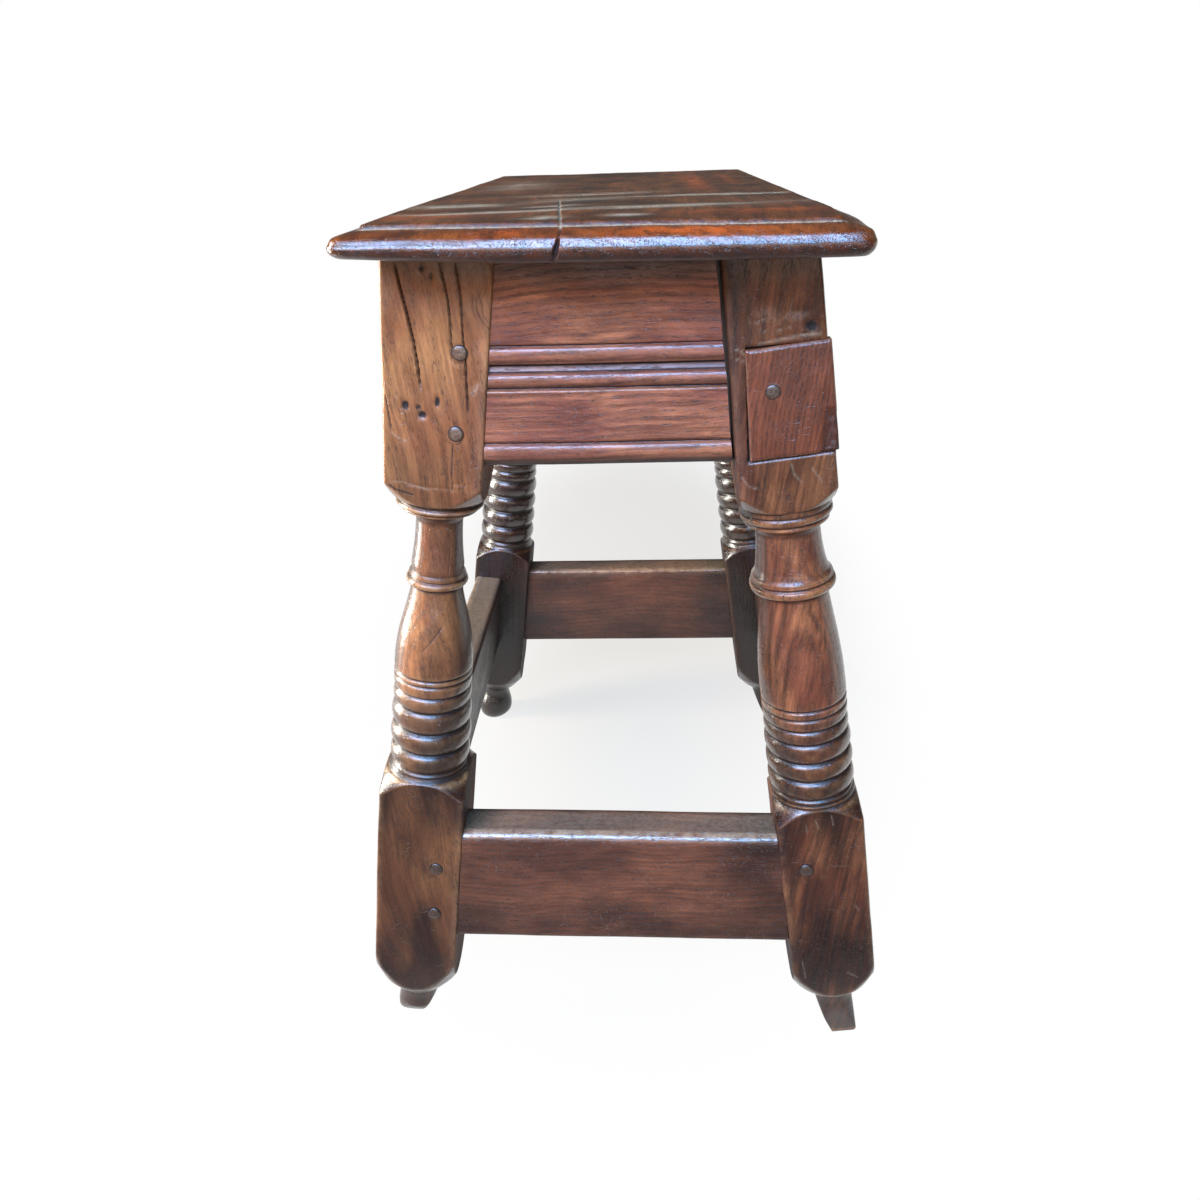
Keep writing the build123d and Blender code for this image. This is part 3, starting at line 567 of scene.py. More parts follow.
right_dents = [(-30, 500, 6, 5, 0.5), (-14, 497, 5, 3, 0.7), (-8, 489, 3, 3, 1.0), (-25, 405, 9, 6, 0.6)]
right_heads = [(-37.5, up(height)) for height in stretcher_peg_heights]
right_scores = [([(-7.0, 340.5), (-6.6, 334.5)], 0.45, 0.8)]
right_strokes = [
    ([(-40.1, 495.9), (-39.1, 492.2), (-35.2, 492.5), (-31.6, 494.1), (-26.4, 494.4), (-23.2, 492.5)], 0.47,
     0.33),
    ([(-35.5, 489.9), (-30.5, 487.5), (-27.1, 487.5), (-18.3, 489.2)], 0.47, 0.30),
    ([(-16.3, 502.7), (-18.0, 497.0), (-21.3, 494.0)], 0.51, 0.30),
    ([(-48.7, 480.4), (-45.3, 479.0), (-43.0, 475.9)], 0.68, 0.42),
    ([(-49.1, 475.9), (-44.1, 473.9)], 0.59, 0.36),
    ([(-50.0, 413.2), (-47.2, 407.9), (-42.8, 405.9)], 0.77, 0.36),
    ([(-24.1, 417.3), (-23.2, 411.3), (-19.5, 406.5)], 0.77, 0.36),
    ([(-13.9, 413.9), (-9.1, 405.5)], 0.77, 0.30),
    ([(-36.0, 481.5), (-24.2, 483.2), (-13.7, 484.5), (-4, 485.0)], 1.0, 0.5),
    # The pale strokes on the lower block are painted highlights on bruises.
    ([(-29.2, 191.0), (-27.7, 184.9)], 0.51, 0.42), ([(-19.4, 193.4), (-18.9, 186.2)], 0.51, 0.42),
    ([(-35.2, 188.2), (-34.7, 182.1)], 0.51, 0.36), ([(-45.8, 82.7), (-44.8, 69.0)], 0.51, 0.36),
    ([(-17.9, 70.0), (-12.0, 65.3)], 0.59, 0.36), ([(-10.3, 124.5), (-7.6, 120.4)], 0.59, 0.36)]

# How much painted shade darkens each leg, by distance from its foot.
left_smoke = [(60, 1.0), (85, 0.95), (130, 0.68), (160, 0.6), (205, 0.85), (216, 0.95), (262, 0.8),
              (275, 0.3), (330, 0.26), (395, 0.46), (414, 0.35), (432, 0.0)]
right_smoke = [(60, 1.0), (85, 0.95), (130, 0.66), (160, 0.62), (190, 0.8), (202, 0.95), (246, 0.8),
               (260, 0.1), (330, 0.05), (372, 0.1), (383, 0.58), (430, 0.62), (468, 0.56), (492, 0.66),
               (525, 0.55)]
back_smoke = [(60, 0.7), (240, 0.2)]
leg("leg_left_front", "leg_front_left", -1, -1, left_turning, left_oak, fine=1.0, seed=11,
    smoke_at=left_smoke, splits=left_splits, dents=left_dents, heads=left_heads, scores=left_scores,
    strokes=left_strokes, bulge=5.0, head_painted_light=0.22)
leg("leg_right_front", "leg_front_right", 1, -1, right_turning, right_oak, fine=1.0, seed=23,
    smoke_at=right_smoke, dents=right_dents, heads=right_heads, scores=right_scores, strokes=right_strokes,
    let_in=(-46.4, 2.0, 420.9, 480.4, 3.0),
    pared=[(up(411), 0.0), (up(430), 0.8), (up(474), 2.8), (up(523), 4.2)])
leg("leg_left_back", "leg_back_left", -1, 1, {**back_turning, "foot": pear}, back_oak, fine=1.5, seed=37,
    smoke_at=back_smoke)
leg("leg_right_back", "leg_back_right", 1, 1, back_turning, back_oak, fine=1.5, seed=41, smoke_at=back_smoke)


# ------------------------------------------------------------------ rails
# Four oak rails stand under the seat, tenoned into the legs. Each is worked on its face with a pair of beads
# either side of a hollow and a third bead along its foot, run by hand, so their lines waver.
rail_bottom, rail_thickness, rail_set_in = 411.0, 20.0, 1.0
side_shoulder = frame_half_length - leg_stock
# The rail's face from top to foot as (height, depth behind its foremost line).
rail_face = [(523, 0.6), (515, 0.6), (505, 0.6), (495, 0.62), (486, 0.6), (479, 0.6), (476.3, 0.6),
             (475.9, 1.5), (475.5, 2.1), (475.0, 1.9), (474.5, 1.1), (473.6, 0.55), (472.4, 0.2),
             (471.0, 0.03), (469.6, 0.0), (468.3, 0.25), (467.4, 0.7), (466.8, 1.0), (466.3, 1.1),
             (465.9, 1.9), (465.5, 3.1), (465.0, 3.3), (464.3, 3.1), (463.4, 2.9), (462.5, 2.5), (461.9, 2.1),
             (461.5, 2.7), (461.2, 2.4), (460.8, 1.4), (460.0, 0.7), (459.0, 0.3), (457.8, 0.06),
             (456.6, 0.0), (455.4, 0.25), (454.5, 0.8), (453.9, 1.5), (453.4, 2.6), (452.9, 2.8),
             (452.5, 2.2), (452.2, 0.9), (451.4, 0.6), (450.0, 0.7), (445, 0.8), (438, 0.8), (431, 0.8),
             (426, 0.8), (424.9, 0.85), (424.4, 1.7), (423.9, 2.4), (423.4, 2.1), (422.9, 1.2), (422.0, 0.6),
             (420.8, 0.2), (419.4, 0.0), (418.0, 0.05), (416.6, 0.4), (415.4, 0.95), (414.3, 1.7),
             (413.4, 2.5), (412.4, 3.2), (411.4, 4.2), (411.0, 5.4)]
rail_sweep, into_leg = 140, 0.3


def along_profile(profile, step):
    """Fills in a profile so that its points are never more than step apart."""
    out = [profile[0]]
    for a, b in zip(profile[:-1], profile[1:]):
        pieces = max(1, math.ceil(math.hypot(b[0] - a[0], b[1] - a[1]) / step))
        share = [k / pieces for k in range(1, pieces + 1)]
        out += [(a[0] + (b[0] - a[0]) * k, a[1] + (b[1] - a[1]) * k) for k in share]
    return np.array(out)


def bar_tree():
    """Runs a section, drawn as a loop of points (depth, height), along a straight line, closes both ends and
    lets the hand of the plane show. laid keeps every point's place (along, height, depth) before that."""
    group = bpy.data.node_groups.new("worked_bar", "GeometryNodeTree")
    for label, kind in (("Geometry", "Geometry"), ("Length", "Float"), ("Stations", "Int"),
                        ("Waver", "Float"), ("Waver From", "Float"), ("Waver To", "Float"), ("Lump", "Float"),
                        ("Seed", "Float"), ("Oak", "Material")):
        group.interface.new_socket(label, in_out="INPUT", socket_type="NodeSocket" + kind)
    group.interface.new_socket("Geometry", in_out="OUTPUT", socket_type="NodeSocketGeometry")
    given = add(group, "NodeGroupInput").outputs
    place = add(group, "GeometryNodeInputPosition").outputs[0]
    parts = add(group, "ShaderNodeSeparateXYZ", {0: place}).outputs
    half = add(group, "ShaderNodeMath", {0: given["Length"], 1: 0.5}, operation="MULTIPLY").outputs[0]
    other_half = add(group, "ShaderNodeMath", {0: half, 1: -1.0}, operation="MULTIPLY").outputs[0]
    line = add(group, "GeometryNodeCurvePrimitiveLine", {
        "Start": add(group, "ShaderNodeCombineXYZ", {0: other_half}).outputs[0],
        "End": add(group, "ShaderNodeCombineXYZ", {0: half}).outputs[0]}, mode="POINTS").outputs[0]
    line = add(group, "GeometryNodeResampleCurve", {"Curve": line, "Count": given["Stations"]}).outputs[0]
    line = add(group, "GeometryNodeStoreNamedAttribute",
               {"Geometry": line, "Name": "along", "Value": parts["X"]}, data_type="FLOAT",
               domain="POINT").outputs[0]
    section = add(group, "GeometryNodeMeshToCurve", {"Mesh": given["Geometry"]}).outputs[0]
    for label, value in (("depth", parts["X"]), ("height", parts["Y"])):
        section = add(group, "GeometryNodeStoreNamedAttribute", {
            "Geometry": section, "Name": label, "Value": value}, data_type="FLOAT", domain="POINT").outputs[0]
    swept = add(group, "GeometryNodeCurveToMesh", {
        "Curve": line, "Profile Curve": section, "Fill Caps": True}).outputs[0]
    along, height, depth = (
        add(group, "GeometryNodeInputNamedAttribute", {"Name": label}, data_type="FLOAT").outputs[0]
        for label in ("along", "height", "depth"))
    laid = add(group, "ShaderNodeCombineXYZ", {0: along, 1: height, 2: depth}).outputs[0]
    swept = add(group, "GeometryNodeSetPosition", {"Geometry": swept, "Position": laid}).outputs[0]
    swept = add(group, "GeometryNodeStoreNamedAttribute", {"Geometry": swept, "Name": "laid", "Value": laid},
                data_type="FLOAT_VECTOR", domain="POINT").outputs[0]

    def chance(stretch, size, seed_step):
        """Smooth noise between -1 and 1 with lumps about size metres long."""
        drawn = add(group, "ShaderNodeVectorMath", {0: place, 1: stretch}, operation="MULTIPLY").outputs[0]
        seed = add(group, "ShaderNodeMath", {0: given["Seed"], 1: seed_step}, operation="ADD").outputs[0]
        noise = add(group, "ShaderNodeTexNoise",
                    {"Vector": drawn, "W": seed, "Scale": 0.5 / size, "Detail": 1.0},
                    noise_dimensions="4D").outputs[0]
        return add(group, "ShaderNodeMapRange", {"Value": noise, "From Min": 0.28, "From Max": 0.72,
                                                 "To Min": -1.0}).outputs[0]

    def between(value, low, high):
        """1 where a value lies between two others, 0 elsewhere."""
        over = add(group, "ShaderNodeMath", {0: value, 1: low}, operation="GREATER_THAN").outputs[0]
        below = add(group, "ShaderNodeMath", {0: value, 1: high}, operation="LESS_THAN").outputs[0]
        return add(group, "ShaderNodeMath", {0: over, 1: below}, operation="MULTIPLY").outputs[0]

    # The moulding's lines waver up and down; the face has lumps, and tool marks a few hundredths deep.
    waver = add(group, "ShaderNodeMath", {0: chance((1, 0.2, 0), 0.055, 0.0), 1: given["Waver"]},
                operation="MULTIPLY").outputs[0]
    waver = add(group, "ShaderNodeMath",
                {0: waver, 1: between(height, given["Waver From"], given["Waver To"])},
                operation="MULTIPLY").outputs[0]
    lump = add(group, "ShaderNodeMapRange", {
        "Value": chance((1, 2.2, 1), 0.022, 5.0), "From Min": -1.0, "To Max": given["Lump"]}).outputs[0]
    tool = add(group, "ShaderNodeMath", {0: chance((1, 1, 1), 0.005, 9.0), 1: 0.00006, 2: lump},
               operation="MULTIPLY_ADD").outputs[0]
    tool = add(group, "ShaderNodeMath", {0: tool, 1: between(depth, -1.0, 0.006)},
               operation="MULTIPLY").outputs[0]
    moved = add(group, "ShaderNodeCombineXYZ", {1: waver, 2: tool}).outputs[0]
    worked = add(group, "GeometryNodeSetPosition", {"Geometry": swept, "Offset": moved}).outputs[0]
    real = add(group, "GeometryNodeRealizeInstances", {"Geometry": worked}).outputs[0]
    done = add(group, "GeometryNodeSetMaterial", {"Geometry": real, "Material": given["Oak"]})
    add(group, "NodeGroupOutput", {0: done.outputs[0]})
    return group


def made_by_nodes(group, name, mesh, values):
    """Runs a node tree on a mesh and gives back what it makes as a plain mesh."""
    carrier = bpy.data.objects.new(name, mesh)
    scene.collection.objects.link(carrier)
    maker = carrier.modifiers.new(name, "NODES")
    maker.node_group = group
    for item in group.interface.items_tree:
        if item.item_type == "SOCKET" and item.in_out == "INPUT" and item.name in values:
            maker[item.identifier] = values[item.name]
    made = bpy.data.meshes.new_from_object(carrier.evaluated_get(bpy.context.evaluated_depsgraph_get()))
    bpy.data.objects.remove(carrier)
    return made


bar_maker = bar_tree()


def bar(name, node, section, length, stations, put, oak, seed, lump, waver, wavers, marks):
    """A bar of one section (height, depth from its face). put sets points (along, height, depth) in the
    stool, lump and waver are its unevenness in mm, and wavers the heights between which its lines waver."""
    loop = bpy.data.meshes.new(name + "_section")
    count = len(section)
    loop.from_pydata([(d / 1000, h / 1000, 0) for h, d in section],
                     [(i, (i + 1) % count) for i in range(count)], [])
    mesh = made_by_nodes(bar_maker, name + "_sweep", loop, {
        "Length": length / 1000, "Stations": stations, "Waver": waver / 1000, "Waver From": wavers[0] / 1000,
        "Waver To": wavers[1] / 1000, "Lump": lump / 1000, "Seed": float(seed), "Oak": oak})
    worked, laid = (np.zeros(3 * len(mesh.vertices), np.float32) for _ in range(2))
    mesh.vertices.foreach_get("co", worked)
    mesh.attributes["laid"].data.foreach_get("vector", laid)
    worked, laid = worked.reshape(-1, 3) * 1000, laid.reshape(-1, 3) * 1000
    points = put(*worked.astype(float).T) / 1000
    mesh.vertices.foreach_set("co", points.astype(np.float32).ravel())
    work = dress(mesh, name, node, **{mark: paint(laid.astype(float)) for mark, paint in marks.items()})
    return work


rail_section = np.concatenate([
    along_profile(rail_face + [(rail_bottom, rail_thickness)], 1.3),
    along_profile([(rail_bottom, rail_thickness), (leg_top, rail_thickness)], 8)[1:]])


def rail_wear(raw):
    """Rubbing on the crowns of the three beads and on the sharp edges below two of them."""
    h, d = raw[..., 1], raw[..., 2]
    crowns = ((468.5, 2.2, 0.25), (455.8, 2.2, 0.25), (417.3, 2.4, 0.25), (452.0, 0.5, 0.8),
              (466.5, 0.4, 0.7))
    return sum(share * np.exp(-((h - z) / width) ** 2) for z, width, share in crowns) * (d < 4)


def rail_grime(raw):
    """Dirt in the quirks; painted shade under the beads, in the hollow, under the seat and on the lower half
    of the foot bead; and darker all over the back.
    """
    h, d = raw[..., 1], raw[..., 2]
    quirks = ((475.6, 0.5), (465.3, 0.7), (461.5, 0.35), (453.2, 0.6), (424.0, 0.6))
    lines = sum(np.exp(-((h - z) / width) ** 2) for z, width in quirks)
    under_beads = sum(np.exp(-((h - z) / 1.3) ** 2) for z in (467.6, 455.0))
    hollow = ease(461.2, 461.8, h) * (1 - ease(465.0, 465.6, h))
    shade = 0.35 * ease(505, 520, h) + 0.9 * (1 - ease(412.0, 418.5, h)) + 0.45 * (under_beads + hollow)
    return np.clip(lines + shade, 0, 1) * (d < 8) + 0.5 * (d >= 8)


def rail_polish(raw):
    """A little more wax on the three moulded bands, where the cloth catches."""
    h = raw[..., 1]
    bands = ((465.6, 475.8), (453.4, 461.5), (411, 424.2))
    return 0.06 * sum(ease(low, low + 1, h) * (1 - ease(high - 1, high, h)) for low, high in bands)


# The front rail is the showy one, flamed oak gone red-brown under its wax. The others are plain and dark.
front_rail_oak = old_oak("rail_oak_flame", (0, math.radians(90), 0), (140, 20, 90),
                         ("421c11", "a05a44", "cc7e55", "b87a52"), ring=3.8, gloss=0.27, grit=0.8)
side_rail_oak = old_oak("rail_oak_plain", (math.radians(90), 0, 0), (90, 60, 400),
                        ("1e110c", "42221a", "6a3820", "905638"), ring=3.4, gloss=0.28)


def put_end(end, set_in, shrink=lambda share, h: 0):
    """Stands a rail across one end, stretched between the leaning legs."""
    def put(t, h, d):
        share = t / (rail_sweep / 2)
        x = share * (inner_face(h) + into_leg) - shrink(share, h) * (d < 9)
        return np.stack([x, end * (frame_half_length - set_in - d), h], -1)
    return put


def front_gap(share, h):
    """The front rail has shrunk away from the right leg low down, and fills the leg's pared part above."""
    fuller = np.interp(h, [410, 430, 456, 474, 501, 523], [-1.1, -0.8, 0.5, 0.6, 1.6, 1.2])
    return np.where(share > 0.9, (share - 0.9) / 0.1, 0) * -fuller


def put_side(side, set_in):
    """Stands a bar along one side, leaning with the legs but with its top planed level for the seat."""
    def put(t, h, d):
        near_top = np.clip((h - leg_top) / 25 + 1, 0, 1)
        s = h / math.cos(lean) + near_top * (d + set_in) * math.tan(lean)
        return stand(-set_in - d, t, s, side)
    return put


# Painted shade darkens the rails' tops, under the seat.
rail_marks = dict(wear=rail_wear, grime=rail_grime, polish=rail_polish,
                  smoke=lambda raw: 0.3 * ease(495, 521, raw[..., 1]))
for end, end_name, put, oak, seed in ((-1, "front", put_end(-1, rail_set_in, front_gap), front_rail_oak, 51),
                                      (1, "back", put_end(1, rail_set_in), side_rail_oak, 57)):
    bar(f"rail_{end_name}", f"apron_{end_name}_end", rail_section, rail_sweep, 150, put, oak,
        seed=seed, lump=0.35, waver=0.3, wavers=(400, 500), marks=rail_marks)
for side, side_name in ((-1, "left"), (1, "right")):
    bar(f"rail_{side_name}", f"apron_{side_name}_side", rail_section, 2 * (side_shoulder + into_leg), 240,
        put_side(side, rail_set_in), side_rail_oak,
        seed=60 + side, lump=0.4, waver=0.3, wavers=(400, 500), marks=rail_marks)


# ------------------------------------------------------------------ stretchers
# Four plain oak bars tie the legs a hand above the floor. Generations of boots have rubbed the top outer
# arris of each to a rounded, shiny chamfer and scuffed its face.
stretcher_bottom, stretcher_top, stretcher_thickness = 95.0, 171.0, 26.0
stretcher_set_in, back_stretcher_set_in = 1.5, 18.0
stretcher_sweep = 190


def stretcher_section(worn):
    """The bar's outline as (height, depth), its top outer arris worn to a round of radius worn."""
    low_round = 1.4
    arc = [(stretcher_top - worn * (1 - math.sin(q)), worn * (1 - math.cos(q)))
           for q in np.radians([90, 75, 60, 45, 30, 15, 0])]
    foot = [(stretcher_bottom + low_round * (1 - math.sin(q)), low_round * (1 - math.cos(q)))
            for q in np.radians([0, 30, 60, 90])]
    back = [(stretcher_bottom, stretcher_thickness - 1), (stretcher_bottom + 1, stretcher_thickness),
            (stretcher_top - 1.2, stretcher_thickness), (stretcher_top, stretcher_thickness - 1.2)]
    return along_profile(arc + foot + back + [(stretcher_top, worn)], 1.8)[:-1]


def stretcher_wear(raw):
    """Bare wood on the top arris, less on the top and on the lower arris."""
    h, d = raw[..., 1], raw[..., 2]
    top_arris = np.exp(-((h - stretcher_top + 1.2) / 1.6) ** 2) * (d < 5)
    low_arris = 0.3 * np.exp(-((h - stretcher_bottom - 1) / 1.2) ** 2) * (d < 4)
    return top_arris + 0.12 * (h > stretcher_top - 0.5) + low_arris


def stretcher_grime(raw):
    """Dirt along the foot, in the left corner on top and on the back."""
    t, h, d = raw[..., 0], raw[..., 1], raw[..., 2]
    low = 0.5 * (1 - ease(stretcher_bottom, stretcher_bottom + 30, h))
    corner = 0.6 * (1 - ease(0, 22, t + 93 + 6 * unevenness(raw, 9, 77))) * ease(3, 6, d)
    return low + corner + 0.3 * ease(19, 25, d)


def stretcher_polish(raw):
    """Boots have burnished the rounded arris."""
    return ease(stretcher_top - 8, stretcher_top - 5, raw[..., 1]) * (1 - ease(6, 8, raw[..., 2]))


def stretcher_dust(raw):
    """Dust lies on the top."""
    return 0.3 * (raw[..., 1] > stretcher_top - 0.5) * (1 - ease(20, 25, raw[..., 2]))


def put_front_stretcher(t, h, d):
    """The front stretcher was cut a little full and set a little out of level."""
    share = t / (stretcher_sweep / 2)
    z = h + 1.6 * (2 * ease(stretcher_bottom, stretcher_top, h) - 1) - 1.6 * share
    return np.stack([share * (inner_face(z) + into_leg), -(frame_half_length - stretcher_set_in - d), z], -1)


def put_back_stretcher(t, h, d):
    """The back one stands well in from the legs' faces, with its own face to the inside."""
    x = t / (stretcher_sweep / 2) * (inner_face(h) + into_leg)
    return np.stack([x, frame_half_length - back_stretcher_set_in - stretcher_thickness + d, h], -1)


def booted(raw):
    """Boot blacking lies in clouds, thickest towards the ends."""
    ends = ease(30, 92, raw[..., 0]) * 0.55 + ease(-55, -92, raw[..., 0]) * 0.4
    return ends * (0.7 + 0.6 * unevenness(raw, (30, 22, 30), 97)) + 0.25 * unevenness(raw, (26, 15, 30), 98)


# The end stretchers are scuffed to brown and grey by boots. The side ones are drier and duller, out of reach.
stretcher_oak = old_oak("stretcher_oak_scuffed", (0, math.radians(90), 0), (60, 70, 240),
                        ("24130c", "653827", "925538", "b59270"), ring=2.8, gloss=0.26, grit=1.3, figure=0.7)
side_stretcher_oak = old_oak("stretcher_oak_dusty", (math.radians(90), 0, 0), (35, 90, 500),
                             ("1c120d", "3a261b", "5c3a26", "a08060"), ring=3.0, gloss=0.4, grit=1.3)
scuffed = dict(wear=stretcher_wear, grime=stretcher_grime, dust=stretcher_dust, polish=stretcher_polish)
bar("stretcher_front", "stretcher_front_end", stretcher_section(6.2), stretcher_sweep, 190,
    put_front_stretcher, stretcher_oak, seed=71, lump=0.7, waver=0.5, wavers=(160, 200),
    marks={**scuffed, "smoke": booted})
bar("stretcher_back", "stretcher_back_end", stretcher_section(2.4), stretcher_sweep, 150, put_back_stretcher,
    stretcher_oak, seed=75, lump=0.6, waver=0.4, wavers=(160, 200),
    marks={**scuffed, "smoke": lambda raw: booted(raw) + 0.2})
for side, side_name in ((-1, "left"), (1, "right")):
    bar(f"stretcher_{side_name}", f"stretcher_{side_name}_side", stretcher_section(2.8),
        2 * (side_shoulder + into_leg), 240, put_side(side, stretcher_set_in), side_stretcher_oak,
        seed=80 + side, lump=0.7, waver=0.5, wavers=(160, 200), marks=scuffed)


# ------------------------------------------------------------------ patch
# A later joiner let a block of oak into the broken corner of the right front leg and held it with one peg.
# It stands a little proud, was dressed with a coarse saw, and has since lost its own lower corner.
patch_low, patch_high, patch_thickness, patch_proud = up(415.0), up(473.0), 6.5, 1.5
# Younger, redder and duller wood than the leg round it, with close rings and a dry, scratched face.
patch_oak = old_oak("patch_oak_sawn", (0, -lean, 0), (160, 40, 150), ("2a110a", "68341f", "8c482b", "a67a5c"),
                    ring=1.8, gloss=0.33, grit=1.4, figure=0.8)
u, v = np.meshgrid(np.linspace(0, 1, 91), np.linspace(0, 1, 121), indexing="ij")
nought = np.zeros_like(u)
left_line = -43.4 + 3.2 * (v - 0.5)
patch_x = left_line + u * (1.2 - left_line)
wander = 0.8 * unevenness(np.stack([patch_x, nought, nought], -1), 14, 91) * (v - 0.5)
patch_s = patch_low + v * (patch_high - patch_low) + wander
raw = np.stack([patch_x, patch_s, nought], -1)
saw = nought
chance = np.random.default_rng(92)
for _ in range(16):
    x, height, reach = chance.uniform(-40, 0), patch_high - chance.uniform(-2, 13), chance.uniform(5, 13)
    curved = patch_x + 0.15 * (patch_s - height) ** 2 / 10
    stroke = near_line(curved, patch_s, [(x, height), (x - reach, height - reach * 0.85)], 0.42)
    saw = np.maximum(saw, stroke * chance.uniform(0.4, 1.0))
lost = ease(0.0, 1.0, (patch_x + 11.5 - 0.18 * (patch_s - 420)) / 5)
lost = lost * (1 - ease(440, 447, patch_s + 2 * unevenness(raw, 5, 93)))
from_edge = np.minimum(np.minimum(u, 1 - u) * 44, np.minimum(v, 1 - v) * 58)
rise = patch_proud - 0.9 * np.exp(-(from_edge / 0.9) ** 2) - 0.25 * (1 + unevenness(raw, (14, 14, 9), 94))
rise = rise - 0.10 * saw - lost * (1.5 + 0.9 * unevenness(raw, 3.2, 95))
front = stand(patch_x, -(frame_half_length + rise), patch_s, 1)
behind = stand(patch_x, np.full_like(patch_x, -(frame_half_length - patch_thickness)), patch_s, 1)
n_u, n_v = patch_x.shape
loop = [i * n_v for i in range(n_u)] + [(n_u - 1) * n_v + j for j in range(1, n_v)]
loop += [i * n_v + n_v - 1 for i in range(n_u - 2, -1, -1)] + [j for j in range(n_v - 2, 0, -1)]
faces = grid_faces(n_u, n_v) + [quad[::-1] for quad in grid_faces(n_u, n_v, start=n_u * n_v)]
faces += [[a, b, b + n_u * n_v, a + n_u * n_v] for a, b in zip(loop, loop[1:] + loop[:1])]
edge_wear = np.exp(-(from_edge / 0.8) ** 2) * 0.7 * (1 - lost) + np.clip(saw, 0, 1) * 0.5
patch = skin("leg_patch_block", np.concatenate([front.reshape(-1, 3), behind.reshape(-1, 3)]), faces,
             patch_oak, "leg_patch", wear=np.stack([edge_wear, nought]), grime=np.stack([lost * 0.6, nought]),
             split=np.stack([nought, nought]))


# ------------------------------------------------------------------ seat
# The seat is one flat-sawn oak board, its grain running the long way, with a thumb moulding planed on all
# four edges below a small bevel and fillet. The front end has split, and the moulding is rubbed to bare wood.
seat_thickness, seat_width, seat_length = 17.0, 246.0, 530.0
seat_half_width, seat_half_length = seat_width / 2, seat_length / 2
stool_height = leg_top + seat_thickness
# The moulding from the underside up as (inset, drop below the top).
thumb = [(3.4, 17.0), (2.8, 16.7), (1.9, 15.9), (1.1, 14.9), (0.5, 13.8), (0.12, 12.6), (0.0, 11.6),
         (0.08, 10.7), (0.3, 9.8), (0.65, 8.9), (1.02, 8.0), (1.4, 7.1), (1.85, 6.3), (2.5, 5.65), (3.5, 5.1),
         (5.0, 4.5), (7.0, 3.8), (9.0, 3.25), (11.0, 2.8), (12.3, 2.6), (12.9, 2.5), (13.2, 2.3), (13.4, 2.0),
         (13.6, 1.65), (13.85, 1.25), (14.1, 0.85), (14.35, 0.5), (14.6, 0.22), (15.0, 0.08), (15.8, 0.02),
         (16.6, 0.0), (17.6, 0.0)]
# Long straight grain, nearly black in the field and glowing orange where the edge is worn through its wax.
seat_oak = old_oak("seat_oak_waxed_board", (math.radians(90), 0, 0), (60, 130, 0),
                   ("190c08", "602b12", "8e4a1c", "d85c1c"), ring=4.2, gloss=0.25, grit=1.4)

# The board is ringed by the moulding's lines, close together where the profile turns, and its field is a grid
# that is finer along the split. Both are drawn between -1 and 1 first.
near_end = np.array([0.004, 0.008, 0.012])
short = np.unique(np.concatenate([np.linspace(-1, 1, 96), np.linspace(-34, -8, 60) / seat_half_width]))
long = np.unique(np.concatenate([np.linspace(-1, 1, 190), near_end - 1, 1 - near_end]))
rim = np.concatenate([np.stack([short, np.full_like(short, -1.0)], 1)[:-1],
                      np.stack([np.ones_like(long), long], 1)[:-1],
                      np.stack([short[::-1], np.ones_like(short)], 1)[:-1],
                      np.stack([-np.ones_like(long), long[::-1]], 1)[:-1]])
edge_count = len(rim)


def rounded(x, y, half_x, half_y, radius):
    """Pulls the corner of a rectangle round."""
    inner_x, inner_y = half_x - radius, half_y - radius
    out_x = np.maximum(np.abs(x) - inner_x, 0)
    out_y = np.maximum(np.abs(y) - inner_y, 0)
    corner = (out_x > 0) & (out_y > 0)
    reach = np.where(corner, np.hypot(out_x, out_y), 1)
    round_x = np.sign(x) * (inner_x + out_x / reach * radius)
    round_y = np.sign(y) * (inner_y + out_y / reach * radius)
    return np.where(corner, round_x, x), np.where(corner, round_y, y)


def blots(points, places):
    """The strongest of some soft ovals: (across, along, half width, half length, strength, slant)."""
    most = np.zeros(len(points))
    for across, along, wide, tall, share, slant in places:
        x, y = points[:, 0] - across, points[:, 1] - along
        most = np.maximum(most, share * np.exp(-(x / wide) ** 2 - ((y - slant * x) / tall) ** 2))
    return most


rings = []
for inset, drop in thumb:
    half_x, half_y = seat_half_width - inset, seat_half_length - inset
    x, y = rounded(rim[:, 0] * half_x, rim[:, 1] * half_y, half_x, half_y, max(7.5 - 0.42 * inset, 1.0))
    rings.append(np.stack([x, y, np.full(len(x), stool_height - drop)], 1))
points = rings[:]
faces = grid_faces(len(thumb), edge_count, closed=True)
count = len(thumb) * edge_count
quarters = np.cumsum([len(short) - 1, len(long) - 1, len(short) - 1])
for ring, field_z in ((len(thumb) - 1, stool_height), (0, stool_height - seat_thickness)):
    sides = np.split(ring * edge_count + np.arange(edge_count), quarters)
    index = np.zeros((len(short), len(long)), int)
    index[:-1, 0], index[-1, :-1] = sides[0], sides[1]
    index[:0:-1, -1], index[0, :0:-1] = sides[2], sides[3]
    inset = thumb[ring][0]
    across, along = np.meshgrid(short[1:-1] * (seat_half_width - inset),
                                long[1:-1] * (seat_half_length - inset), indexing="ij")
    index[1:-1, 1:-1] = count + np.arange(across.size).reshape(across.shape)
    points.append(np.stack([across.ravel(), along.ravel(), np.full(across.size, field_z)], 1))
    count += across.size
    quads = np.stack([index[:-1, :-1], index[1:, :-1], index[1:, 1:], index[:-1, 1:]], -1)
    faces += quads.reshape(-1, 4).tolist()
points = np.concatenate(points)
flat_edge = np.minimum(seat_half_width - np.abs(points[:, 0]), seat_half_length - np.abs(points[:, 1]))
top_side = points[:, 2] > stool_height - 9

